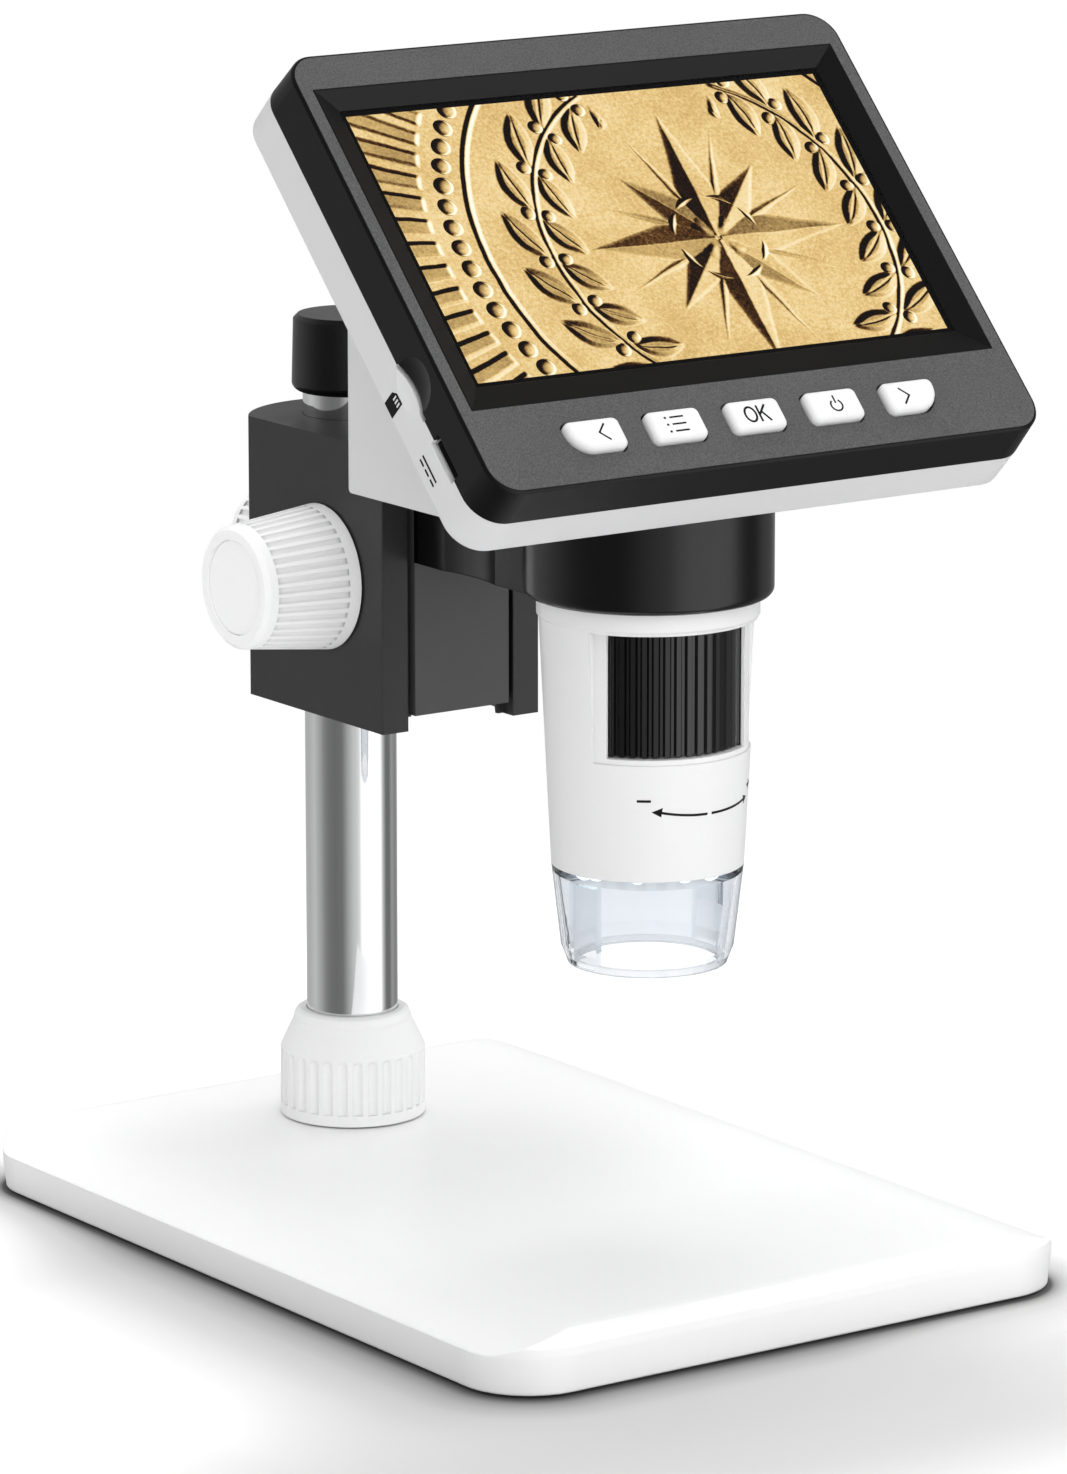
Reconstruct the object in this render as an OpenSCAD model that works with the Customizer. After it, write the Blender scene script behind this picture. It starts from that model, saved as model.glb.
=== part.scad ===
// Desktop digital microscope: a weighted base and post carry a rack-and-pinion focusing bracket,
// whose ring holds a microscope barrel with a tilted colour display as its head.
// Millimetres. +X right, +Y to the back, +Z up. The origin is the middle of the base, on the table.

/* [Base] */
// Width of the base
base_w = 118.5; // [112:0.5:140]
// Depth of the base from front to back
base_d = 166; // [150:1:200]
// Height of the base's top face above the table
base_h = 10.8; // [9.8:0.2:16]
// Plan radius of the base's corners
base_corner_r = 13; // [10:0.5:20]
// Height of the bevel along the top of the front and back
base_bevel_h = 2.2; // [1.6:0.1:2.6]
// Width of that bevel
base_bevel_w = 4.5; // [3.5:0.5:6]
// How far the broad shoulder on each side falls below the top
side_fall = 3.9; // [3.2:0.1:4.2]
// Width of the broad shoulder on each side
side_shoulder_w = 15; // [13:1:18]
// Width of the ledge below the broad shoulder
side_lip = 1.2; // [0.8:0.1:1.4]
// How far the side wall leans in towards the table
base_draft = 0.6; // [0:0.1:1.2]
// Wall thickness of the base cover
base_wall = 2.2; // [1.6:0.1:3]
// Thickness of the bottom plate
plate_t = 1.6; // [1.2:0.1:2]
// Thickness of the steel ballast
ballast_t = 3; // [2:0.5:4]
// Height of the rubber feet below the bottom plate
foot_h = 0.6; // [0.4:0.1:1]
// Diameter of the rubber feet
foot_d = 14; // [10:1:18]

/* [Post] */
// Distance of the post axis from the base's back edge
post_inset = 32.5; // [28:0.5:38]
// Diameter of the post
post_d = 16.2; // [15:0.1:17]
// Wall thickness of the post tube
post_wall = 1.5; // [1:0.1:2.5]
// Height of the post above the base's top face
post_rise = 130.7; // [128:0.5:170]
// Diameter of the cap on the post
cap_d = 20.1; // [18.5:0.1:24]
// Height of the cap
cap_h = 13.6; // [10:0.2:18]
// Length of the cap's plug inside the post
cap_plug_l = 9; // [6:1:14]

/* [Collar] */
// Diameter of the collar nut
collar_d = 25.8; // [24.6:0.2:30]
// Height of the collar nut
collar_h = 19.4; // [17:0.2:22]
// Height of the collar's straight ribbed part
collar_grip_h = 12; // [10:0.5:13]
// Diameter of the collar's top lip
collar_lip_d = 20; // [19:0.2:22]
// Number of ribs on the collar
collar_ribs = 30; // [20:1:36]
// Outside diameter of the threaded socket under the collar
socket_d = 21; // [20:0.2:22]
// Height of the socket above the base's top face
socket_rise = 10; // [8:0.5:11]

/* [Bracket] */
// Height of the bracket's underside above the base's top face
bracket_rise = 76.9; // [70:0.5:79]
// Width of the bracket
bracket_w = 32.6; // [31:0.2:38]
// Height of the bracket
bracket_h = 49.7; // [46:0.5:52]
// Distance from the post axis to the front of the bracket's ears
bracket_reach = 34.4; // [33:0.2:38]
// Distance from the post axis to the bracket's back
bracket_back = 16.4; // [16:0.1:18]
// Distance from the post axis to the bracket's back corners
bracket_corner = 7.3; // [6:0.1:9]
// Distance from the post axis to the pinion axis
pinion_reach = 15.8; // [15.6:0.1:16.6]
// Height of the pinion axis above the bracket's underside
pinion_rise = 24.9; // [22:0.5:28]
// Width of the open front channel between the ears
channel_w = 22; // [21:0.2:23]

/* [Rack and pinion] */
// Tooth module of the pinion and rack
gear_module = 0.8; // [0.75:0.01:0.85]
// Number of teeth on the pinion
pinion_teeth = 12; // [11:1:13]
// Face width of the pinion
pinion_w = 8; // [6:0.5:9]
// Face width of the rack
rack_w = 7; // [5:0.5:7.4]
// Diameter of the pinion shaft
shaft_d = 5; // [4:0.2:5.2]
// Outside diameter of the shaft bushes
bush_d = 8; // [7:0.2:9]
// Length of each shaft bush
bush_l = 9; // [6:0.5:11]

/* [Knobs] */
// Diameter of a knob at the bracket side
knob_d = 25.5; // [24:0.5:28]
// Diameter of a knob at its outer end
knob_end_d = 21.5; // [20.5:0.5:23]
// Length of the side knobs
knob_l = 18; // [15:0.5:22]
// Diameter of the clamp knob at the bracket side
clamp_knob_d = 19; // [18:0.5:22]
// Diameter of the clamp knob at its outer end
clamp_knob_end_d = 16.4; // [15.4:0.2:17.4]
// Length of the clamp knob at the back
clamp_knob_l = 9.5; // [8:0.5:12]
// Number of grip grooves around a knob
knob_grooves = 40; // [24:1:44]
// Diameter of the grip grooves' cutter
groove_d = 1.2; // [0.8:0.1:1.4]
// Diameter of the flat cap in a knob's outer end
knob_cap_d = 16.4; // [14:0.2:17]
// Diameter of the clamp screw
clamp_screw_d = 5; // [4:0.2:6]
// Diameter of the pad that presses on the post
clamp_pad_d = 7; // [6.4:0.2:8]

/* [Slider and ring] */
// Width of the slider's front face
slider_w = 19.6; // [18:0.2:20]
// Width of the slider across its dovetail
dovetail_w = 25.4; // [24:0.2:26]
// Thickness of the slider from front to back
slider_t = 10; // [9.6:0.1:10.4]
// Height of the slider
slider_h = 46.7; // [42:0.5:50]
// Height of the slider's lower end above the bracket's underside
slider_lift = 2.6; // [1:0.2:5]
// Distance from the post axis to the barrel axis
barrel_reach = 89.4; // [86:0.2:95]
// Outside diameter of the holder ring
ring_d = 42; // [41:0.2:46]
// Height of the holder ring
ring_h = 17.45; // [15:0.05:20]
// Height of the ring's underside above the slider's lower end
ring_rise = 29.45; // [27:0.05:31]
// Wall thickness of the ring
ring_wall = 1.8; // [1.4:0.1:2]
// Thickness of the felt lining in the ring
lining_t = 0.45; // [0.3:0.05:0.6]
// Width of the arm at the slider
arm_w = 20; // [16:0.5:20]
// Width of the arm at its waist
arm_waist = 18; // [12:0.5:19]

/* [Barrel] */
// Length of the neck that shows below the ring
neck_drop = 3.5; // [2:0.5:5]
// Diameter of the barrel just below its neck
barrel_d = 36.6; // [36:0.1:37]
// Diameter of the barrel's lower end
barrel_end_d = 32.34; // [32:0.1:34]
// Length of the tapering barrel below its neck
barrel_l = 42.25; // [40:0.25:48]
// Diameter of the bore in the barrel's lower part
barrel_bore_d = 29.4; // [29:0.1:29.8]
// Length of the clear hood below the barrel
hood_l = 17; // [14:0.5:20]
// Diameter of the hood above its bottom chamfer
hood_end_d = 29.1; // [28:0.1:31]
// Wall thickness of the hood
hood_wall = 1.3; // [1:0.1:1.6]
// Number of lamps around the lens
led_count = 8; // [4:1:10]

/* [Focus wheel] */
// Diameter of the focus wheel over its ribs
wheel_d = 31.8; // [31:0.1:32]
// Height of the focus wheel
wheel_h = 20.5; // [18:0.5:22]
// Number of ribs on the focus wheel
wheel_ribs = 52; // [36:1:60]
// Distance from the neck's lower edge down to the window
window_drop = 0.3; // [0.2:0.1:1]
// Window edge on the left, measured from the front
window_left = 60; // [40:1:65]
// Window edge on the right, measured from the front
window_right = 36; // [30:1:60]
// Depth of the shallow frame around the window at its lower edge
frame_depth = 0.35; // [0.2:0.05:0.5]
// Diameter of the lens carrier
carrier_d = 18.6; // [16:0.2:19]

/* [Head] */
// Tilt of the display from the horizontal
tilt = 45.75; // [42:0.25:50]
// Width of the display's active area
lcd_w = 95.04; // [93:0.1:96]
// Height of the display's active area
lcd_h = 53.86; // [52:0.1:55]
// Height of the display's centre above the head's flat underside
lcd_rise = 44.4; // [44:0.2:47]
// Width of the sloping frame around the display's active area
window_border = 5.2; // [4.6:0.1:6]
// Distance from the display's centre down to the middle of the sloping frame
window_shift = 0.8; // [0.4:0.1:1]
// Width of the head's face beside the frame
face_side = 3.28; // [3:0.02:5]
// Height of the head's face above the frame
face_top = 7.42; // [7:0.02:9]
// Height of the head's face below the frame, where the buttons are
face_chin = 16.8; // [16:0.1:19]
// Corner radius of the head's outline
head_corner_r = 6; // [5:0.5:8]
// Height of the face plate's surface above the display
face_rise = 1.5; // [1.3:0.1:2]
// Depth of the seam between bezel and back shell behind the display
seam_depth = 6.3; // [6:0.1:7]
// Depth of the back shell's rim behind the display
rim_depth = 14.3; // [13.5:0.1:15]
// Width of the wedge behind the display
wedge_w = 86; // [80:1:90]
// Distance from the barrel axis to the wedge's upright back wall
wedge_back = 27.5; // [24:0.5:28]
// Corner radius at the foot of the back wall
wedge_corner_r = 3.5; // [2:0.5:5]
// Wall thickness of the head's shells
shell_wall = 2; // [1.6:0.1:2.4]

/* [Buttons] */
// Width of a button
key_w = 10.6; // [9.6:0.1:12]
// Height of a button
key_h = 6; // [5.4:0.1:6.6]
// Distance between neighbouring buttons
key_pitch = 15.9; // [14.5:0.1:16.4]
// Sideways place of the row's middle
key_shift = -0.9; // [-2:0.1:2]
// Distance from the sloping frame down to the middle of the row of buttons
key_below = 7.7; // [7.3:0.1:8]
// Small corner radius of a button
key_corner_r = 1.3; // [0.9:0.1:1.6]
// Large outer corner radius of the two end buttons
key_end_r = 5.5; // [3:0.5:6]
// Height of a button above the face plate
key_proud = 1.4; // [1:0.1:1.6]
// How far a button can be pressed
key_travel = 0.8; // [0.5:0.1:1]

/* [Fits] */
// Radial clearance of shafts and sliding tubes
run_fit = 0.08; // [0.03:0.01:0.1]
// Radial clearance of pieces seated in one another
seat_fit = 0.05; // [0.02:0.01:0.08]
// Clearance of the dovetail slideway
slide_fit = 0.12; // [0.08:0.01:0.2]
// Gap between faces of neighbouring moving parts
part_gap = 0.3; // [0.2:0.05:0.4]
// Gap around a button in its hole
key_gap = 0.35; // [0.25:0.05:0.5]

/* [Hidden] */
$fn = 64;

// Cutters reach this far past the faces that they open
over = 0.5;

// Base
base_top_in = base_h - base_wall;
base_crease_z = base_h - base_bevel_h;
side_crease_z = base_h - side_fall;
step_z = side_crease_z - 1.2;
plate_top = foot_h + plate_t;
plate_inset = base_wall + part_gap;
foot_sink = 0.5;
ballast_inset = 22;
ballast_side = 17;
foot_inset = 14;
screw_inset = 8.5;
screw_head_r = 2.7;
screw_r = 1.4;
screw_head_t = 1.2;
boss_r = 3.2;
base_screw_l = base_top_in - foot_h - screw_head_t - 1;

// Post and socket
post_y = base_d / 2 - post_inset;
post_r = post_d / 2;
post_bore_r = post_r + run_fit;
post_foot = plate_top + part_gap;
post_top = base_h + post_rise;
flange_r = socket_d / 2 + 6.5;
flange_t = 3;
socket_screw_pcr = socket_d / 2 + 3.4;
socket_screws = 3;

// Bracket
bracket_z = base_h + bracket_rise;
bracket_r = bracket_w / 2;
bracket_front = post_y - bracket_reach;
back_arc_rise = bracket_back - bracket_corner;
back_arc_r = (bracket_r * bracket_r + back_arc_rise * back_arc_rise) / (2 * back_arc_rise);
pinion_y = post_y - pinion_reach;
pinion_z = bracket_z + pinion_rise;
pitch_r = gear_module * pinion_teeth / 2;
pressure = 20;
base_r = pitch_r * cos(pressure);
tip_r = pitch_r + 0.8 * gear_module;
root_r = pitch_r - 1.3 * gear_module;
backlash = 0.12;
cavity_r = tip_r + 0.55;
cavity_w = pinion_w + 0.8;
tooth_pitch = PI * gear_module;
rack_pitch_y = pinion_y - pitch_r;
rack_tip_y = rack_pitch_y + 0.6 * gear_module;
rack_root_y = rack_pitch_y - 1.2 * gear_module;
rack_slot_y = rack_tip_y + part_gap;
flank = tan(pressure);

// Slider
slider_z = bracket_z + slider_lift;
rack_back = 3.24;
slider_front = rack_root_y - rack_back - slider_t;
slider_back = slider_front + slider_t;
waist_y = slider_front + 4.3;
lip_y = waist_y - 0.8;
rack_end = 1;
rack_low = slider_z + rack_end;
rack_high = slider_z + slider_h - rack_end;
tooth_first = ceil((rack_low + tooth_pitch / 2 - pinion_z) / tooth_pitch - 0.5);
tooth_last = floor((rack_high - tooth_pitch / 2 - pinion_z) / tooth_pitch - 0.5);

// Knobs
knob_x = bracket_r + part_gap;
knob_hub_r = 4.6;
knob_wall = 2.6;
knob_web = 4;
knob_cap_t = 1.2;
knob_cap_sink = 0.5;
knob_recess = knob_cap_t + knob_cap_sink;
knob_edge = 0.8;
groove_margin = 2.2;
clamp_y = post_y + bracket_back + 2 * part_gap;
clamp_cap_d = clamp_knob_end_d - 4;
clamp_grooves = round(knob_grooves * clamp_knob_d / knob_d);
pad_t = 1.6;
pad_y = post_y + post_r + seat_fit;
pad_pocket = pad_t + 0.8;

// Ring and arm
barrel_y = post_y - barrel_reach;
ring_z = slider_z + ring_rise;
ring_top = ring_z + ring_h;
ring_r = ring_d / 2;
ring_bore_r = ring_r - ring_wall;
neck_r = ring_bore_r - lining_t - run_fit;
ring_edge = 1.5;
arm_low = ring_z - 2.5;
arm_arch_r = 26;
arm_arch_rise = 1.6;
waist_r = 30;
waist_mid = (slider_front + barrel_y + ring_r) / 2;
arm_screw_x = 7.2;
arm_screw_l = 9;

// Barrel
neck_z = ring_z - neck_drop;
barrel_z = neck_z - barrel_l;
wheel_r = wheel_d / 2;
chamber_r = wheel_r + part_gap;
window_top = neck_z - window_drop;
window_low = window_top - wheel_h - 2 * part_gap;
wheel_z = window_low + part_gap;
frame_low = window_low - 0.9;
frame_floor_r = barrel_r(frame_low) - frame_depth;
frame_left = window_left + 8;
frame_right = window_right + 32;
retainer_z = wheel_z + wheel_h + part_gap;
retainer_h = 8;
retainer_wall = 1.6;
board_t = 1.6;
sensor_z = retainer_z + retainer_h;
flange_z = ring_top + part_gap + shell_wall;
barrel_flange_r = neck_r + 3.3;
barrel_flange_t = 2;
barrel_screw_pcr = neck_r + 1.5;
hood_z = barrel_z - hood_l;
hood_chamfer_h = 3;
hood_chamfer = 1.15;
hood_ring_r = 11.9;
hood_ring_h = 1.2;
hood_tab_w = 7;
hood_tab_in = 12.4;
spigot_h = 3;
spigot_r = barrel_bore_d / 2 - run_fit;
led_board_z = barrel_z + spigot_h + part_gap;
led_pcr = 10.3;
led_r = 1.9;
led_l = 2.4;
hub_z = wheel_z + 2.5;
hub_h = wheel_h - 5;
hub_wall = 2.2;
wheel_wall = 2;
carrier_r = carrier_d / 2;
carrier_z = wheel_z + 1.5;
carrier_flange_z = retainer_z + 3.5;
carrier_flange_t = 1.5;
carrier_wall = 2.3;
rod_r = 0.8;
rod_pcr = carrier_r + 1.5;
lens_r = carrier_r - carrier_wall - seat_fit;
lens_rim = 1.6;
lens_bulge = 0.9;
lens_low = 1.6;
lens_mid = 10;
lens_high = 16;
sensor_w = 8;
sensor_t = 1.2;
flex_w = 10;
flex_t = 0.3;
flex_lead = 6;
flex_reach = 9;

// Head
head_z = ring_top + part_gap;
lcd_z = head_z + lcd_rise;
lcd_y = barrel_y - 0.6;
window_w = lcd_w + 2 * window_border;
window_h = lcd_h + 2 * window_border + 0.5;
window_lip = 0.25;
head_w = window_w + 2 * face_side;
head_l = window_h + face_top + face_chin;
head_shift = window_shift + (face_chin - face_top) / 2;
head_high = head_l / 2 - head_shift;
head_low = -head_l / 2 - head_shift;
wedge_y = barrel_y + wedge_back;
plate_edge = 0.5;
bezel_lean = 0.5;
face_plate_t = 1.3;
glass_t = 0.8;
glass_border = 1;
glass_w = lcd_w + 2 * glass_border;
glass_h = lcd_h + 2 * glass_border;
front_wall_z = face_rise - face_plate_t;
front_wall_back = -2;
panel_side = 5;
panel_top = 4.1;
panel_chin = 8.7;
panel_w = lcd_w + 2 * panel_side;
panel_h = lcd_h + panel_top + panel_chin;
panel_shift = (panel_chin - panel_top) / 2;
panel_t = 2.6;
lcd_open = 0.4;
screw_post_in = 5;
screw_post_u = head_w / 2 - screw_post_in - 0.5;
screw_post_top = head_high - screw_post_in + 0.3;
screw_post_low = head_low + screw_post_in;
screw_post_r = 2.9;
pcb_front = -7.2;
pcb_side = 8.5;
pcb_top = 11;
pcb_chin = 4;
pcb_w = head_w - 2 * pcb_side;
pcb_low = head_low + pcb_chin;
pcb_high = head_high - pcb_top;
pillar_r = 2;
pillar_u = pcb_w / 2 - pillar_r - 0.1;
pillar_high = pcb_high - 10;
pillar_low = pcb_low + 16;
wedge_deep = 60;
rim_round = 0.8;
cell_r = 9.2;
cell_l = 65;
usb_v = -36.8;
usb_w = 7.8;
usb_h = 2.3;
usb_l = 9;
usb_metal = 0.3;
card_v = -23.4;
card_w = 12.2;
card_h = 1.8;
card_l = 15;
card_metal = 0.45;
port_open = 0.1;
scoop_v = -23;
scoop_n = -4.6;
scoop_half = 5;
scoop_depth = 1.2;
scoop_r = (scoop_half * scoop_half + scoop_depth * scoop_depth) / (2 * scoop_depth);

// Buttons
key_drop = window_h / 2 + window_shift + key_below;
key_low = front_wall_back - part_gap;
key_top = face_rise + key_proud;
key_round = min(1.1, key_corner_r - 0.1);
key_end = min(key_end_r, key_h - key_corner_r - 0.1);
key_flange = 0.9;
key_lip = key_gap + 0.6;
tact_w = 6;
tact_tip_r = 1.7;
tact_top = pcb_front + 1.9;
tact_tip = tact_top + 0.6;
stem_low = tact_tip + key_travel + 0.2;

// A rectangle with rounded corners
module round_rect(w, h, r) {
    square([w - 2 * r, h], center = true);
    square([w, h - 2 * r], center = true);
    for (x = [-1, 1], y = [-1, 1])
        translate([x * (w / 2 - r), y * (h / 2 - r)]) circle(r);
}

// A slab with rounded corners whose rim follows the child outline: the outline's x runs from
// the corner's centre at 0 out to the rim at r, and its y from low to high
module moulded_slab(w, d, r, low, high) {
    sx = w / 2 - r;
    sy = d / 2 - r;
    for (c = [[1, 1, 0], [-1, 1, 90], [-1, -1, 180], [1, -1, 270]])
        translate([c[0] * sx, c[1] * sy, 0]) rotate([0, 0, c[2]]) rotate_extrude(angle = 90) children();
    for (m = [0, 1]) {
        mirror([m, 0, 0]) translate([sx, sy, 0]) rotate([90, 0, 0]) linear_extrude(2 * sy) children();
        mirror([0, m, 0]) rotate([0, 0, 90]) translate([sy, sx, 0]) rotate([90, 0, 0])
            linear_extrude(2 * sx) children();
    }
    translate([-sx, -sy, low]) cube([2 * sx, 2 * sy, high - low]);
}

module tube(r_out, r_in, h) {
    difference() {
        cylinder(r = r_out, h = h);
        translate([0, 0, -over]) cylinder(r = r_in, h = h + 2 * over);
    }
}

// A screw with a flat round head, pointing up from its head at the origin
module screw(head_r, head_t, r, l) {
    cylinder(r = head_r, h = head_t);
    cylinder(r = r, h = head_t + l);
}

module on_base_corners(inset) {
    for (x = [-1, 1], y = [-1, 1])
        translate([x * (base_w / 2 - inset), y * (base_d / 2 - inset), 0]) children();
}

module on_socket_screws() {
    for (i = [0 : socket_screws - 1])
        translate([0, post_y, 0]) rotate([0, 0, 30 + i * 360 / socket_screws])
            translate([socket_screw_pcr, 0, 0]) children();
}

// The frame of the head: X to the right, Y up the face, Z out of the display's surface
module in_head() {
    translate([0, lcd_y, lcd_z]) rotate([tilt, 0, 0]) children();
}

module at_barrel(z) {
    translate([0, barrel_y, z]) children();
}

// Base --------------------------------------------------------------------------------------

module base_rim() {
    r = base_corner_r;
    polygon(concat(
        [[0, foot_h], [r - base_draft, foot_h], [r, side_crease_z], [r, base_crease_z]],
        [for (t = [0.25 : 0.25 : 1])
            [r - base_bevel_w * (t * t + t) / 2, base_crease_z + base_bevel_h * (2 * t - t * t)]],
        [[0, base_h]]
    ));
}

// The outline across the base: broad rounded shoulders that end on a ledge at each side
module base_section() {
    half = base_w / 2 - side_lip;
    flat = half - side_shoulder_w;
    r = (side_shoulder_w * side_shoulder_w + side_fall * side_fall) / (2 * side_fall);
    translate([-base_w / 2 - over, 0]) square([base_w + 2 * over, side_crease_z]);
    intersection() {
        translate([-half, 0]) square([2 * half, base_h]);
        union() {
            translate([-flat, 0]) square([2 * flat, base_h]);
            for (x = [-flat, flat]) translate([x, base_h - r]) circle(r);
        }
    }
}

module base_cover() {
    low_in = base_wall + base_draft;
    top_in = base_wall + base_bevel_w;
    side_in = base_wall + side_shoulder_w * 2 / 3;
    color("whitesmoke") difference() {
        union() {
            difference() {
                intersection() {
                    moulded_slab(base_w, base_d, base_corner_r, foot_h, base_h) base_rim();
                    translate([0, base_d / 2 + over, 0]) rotate([90, 0, 0])
                        linear_extrude(base_d + 2 * over) base_section();
                }
                translate([0, 0, foot_h - over]) linear_extrude(step_z - foot_h + over)
                    round_rect(base_w - 2 * low_in, base_d - 2 * low_in, base_corner_r - low_in);
                translate([0, 0, foot_h]) linear_extrude(base_top_in - foot_h)
                    round_rect(base_w - 2 * side_in, base_d - 2 * top_in, base_corner_r - base_wall);
            }
            on_base_corners(screw_inset + base_wall) translate([0, 0, plate_top])
                cylinder(r = boss_r, h = base_top_in - plate_top + 0.2);
        }
        on_base_corners(screw_inset + base_wall) translate([0, 0, plate_top - over])
            cylinder(r = screw_r + seat_fit, h = base_screw_l - plate_t + screw_head_t + over + 0.4);
        translate([0, post_y, base_top_in - over])
            cylinder(r = socket_d / 2 + seat_fit, h = base_wall + 2 * over);
        on_socket_screws() translate([0, 0, base_top_in - over])
            cylinder(r = 1 + seat_fit, h = over + 1.4);
    }
}

module base_plate() {
    color("dimgray") difference() {
        translate([0, 0, foot_h]) linear_extrude(plate_t) round_rect(
            base_w - 2 * (plate_inset + base_draft), base_d - 2 * (plate_inset + base_draft),
            base_corner_r - plate_inset - base_draft);
        on_base_corners(screw_inset + base_wall) {
            translate([0, 0, foot_h - over]) cylinder(r = screw_head_r + 0.2, h = screw_head_t + over);
            cylinder(r = screw_r + 0.1, h = plate_top + over);
        }
        on_base_corners(foot_inset + foot_d / 2) translate([0, 0, foot_h - over])
            cylinder(r = foot_d / 2 + seat_fit, h = foot_sink + over);
    }
}

module ballast_plate() {
    front = -base_d / 2 + ballast_inset;
    back = post_y - flange_r - 3;
    color("slategray") translate([0, (front + back) / 2, plate_top]) linear_extrude(ballast_t)
        round_rect(base_w - 2 * ballast_side, back - front, 4);
}

module rubber_feet() {
    color("black") on_base_corners(foot_inset + foot_d / 2) cylinder(r = foot_d / 2, h = foot_h + foot_sink);
}

module base_screws() {
    color("silver") {
        on_base_corners(screw_inset + base_wall) translate([0, 0, foot_h])
            screw(screw_head_r, screw_head_t, screw_r, base_screw_l);
        on_socket_screws() translate([0, 0, base_top_in - flange_t - 1]) screw(1.9, 1, 1, flange_t + 1.2);
    }
}

module post_socket() {
    color("silver") difference() {
        union() {
            translate([0, post_y, base_top_in - flange_t]) cylinder(r = flange_r, h = flange_t);
            translate([0, post_y, base_top_in - flange_t])
                cylinder(r = socket_d / 2, h = flange_t + base_wall + socket_rise);
        }
        translate([0, post_y, 0]) cylinder(r = post_bore_r, h = base_h + socket_rise + over);
        on_socket_screws() translate([0, 0, base_top_in - flange_t - over])
            cylinder(r = 1.1, h = flange_t + 2 * over);
    }
}

// Collar and post -----------------------------------------------------------------------------

// Points of a round outline with n flat-topped ribs
function ribbed(r, depth, n) = [for (i = [0 : n - 1], k = [0 : 3])
    let (a = (i + [-0.3, -0.12, 0.12, 0.3][k]) * 360 / n, q = (k == 1 || k == 2) ? r - depth : r)
    [q * cos(a), q * sin(a)]];

module collar_nut() {
    r = collar_d / 2;
    lip = collar_lip_d / 2;
    cone_low = collar_grip_h;
    inner_top = socket_rise + 2 * part_gap;
    color("white") translate([0, post_y, base_h + part_gap]) difference() {
        rotate_extrude() polygon([
            [socket_d / 2 + run_fit, 0], [r, 0], [r, cone_low],
            [lip + 0.5, collar_h - 2.2], [lip + 0.5, collar_h - 1.8], [lip, collar_h - 0.7],
            [lip - 0.6, collar_h - part_gap], [post_bore_r, collar_h - part_gap],
            [post_bore_r, inner_top], [socket_d / 2 + run_fit, inner_top]
        ]);
        for (i = [0 : collar_ribs - 1]) rotate([0, 0, i * 360 / collar_ribs])
            translate([r + 0.45, 0, 2]) {
                cylinder(r = 1, h = cone_low - 3);
                translate([0, 0, cone_low - 3]) sphere(r = 1);
            }
    }
}

module post_tube() {
    color("silver") translate([0, post_y, post_foot])
        tube(post_r, post_r - post_wall, post_top - post_foot);
}

module post_cap() {
    r = cap_d / 2;
    low_round = 1.8;
    color("black") translate([0, post_y, post_top]) {
        rotate_extrude() {
            difference() {
                polygon([[0, 0], [r, 0], [r - 0.35, cap_h - 0.8], [r - 1.15, cap_h], [0, cap_h]]);
                translate([r - low_round, 0]) difference() {
                    translate([0, -over]) square([low_round + over, low_round + over]);
                    translate([0, low_round]) circle(low_round);
                }
            }
        }
        translate([0, 0, -cap_plug_l]) cylinder(r = post_r - post_wall - seat_fit, h = cap_plug_l + over);
    }
}

// Bracket -------------------------------------------------------------------------------------

// Plan of the slider and, grown by a clearance, of the slideway that holds it
module slider_plan(gap) {
    w = slider_w / 2 + gap;
    d = dovetail_w / 2 + gap;
    b = slider_back + gap;
    polygon([[-w, slider_front - (gap > 0 ? 10 : 0)], [w, slider_front - (gap > 0 ? 10 : 0)],
        [w, waist_y], [d, b - 1.4], [d, b], [-d, b], [-d, b - 1.4], [-w, waist_y]]);
}

module bracket_plan() {
    difference() {
        union() {
            translate([-bracket_r, bracket_front]) square([bracket_w, bracket_reach]);
            intersection() {
                translate([-bracket_r, post_y - over]) square([bracket_w, bracket_back + 2 * over]);
                translate([0, post_y + bracket_back - back_arc_r]) circle(back_arc_r);
            }
        }
        slider_plan(slide_fit);
        translate([-channel_w / 2, bracket_front - over]) square([channel_w, lip_y - bracket_front + over]);
        translate([-rack_w / 2 - part_gap, slider_back - 1])
            square([rack_w + 2 * part_gap, rack_slot_y - slider_back + 1]);
    }
}

module bracket_housing() {
    color([0.17, 0.17, 0.17]) difference() {
        translate([0, 0, bracket_z]) linear_extrude(bracket_h) bracket_plan();
        translate([0, post_y, bracket_z - over]) cylinder(r = post_bore_r, h = bracket_h + 2 * over);
        translate([-cavity_w / 2, pinion_y, pinion_z]) rotate([0, 90, 0])
            cylinder(r = cavity_r, h = cavity_w);
        translate([-bracket_r - over, pinion_y, pinion_z]) rotate([0, 90, 0])
            cylinder(r = bush_d / 2 + seat_fit, h = bracket_w + 2 * over);
        translate([0, post_y, pinion_z]) rotate([-90, 0, 0])
            cylinder(r = clamp_screw_d / 2 + run_fit, h = bracket_back + over);
        translate([0, post_y, pinion_z]) rotate([-90, 0, 0])
            cylinder(r = clamp_pad_d / 2 + seat_fit, h = post_r + seat_fit + pad_pocket);
    }
}

module shaft_bushes() {
    color("goldenrod") for (m = [0, 1]) mirror([m, 0, 0])
        translate([bracket_r - bush_l, pinion_y, pinion_z]) rotate([0, 90, 0])
            tube(bush_d / 2, shaft_d / 2 + run_fit, bush_l);
}

module clamp_pad() {
    color("goldenrod") difference() {
        translate([0, pad_y - 1, pinion_z]) rotate([-90, 0, 0]) cylinder(r = clamp_pad_d / 2, h = pad_t + 1);
        translate([0, post_y, pinion_z - clamp_pad_d]) cylinder(r = post_r + seat_fit, h = 2 * clamp_pad_d);
    }
}

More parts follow.
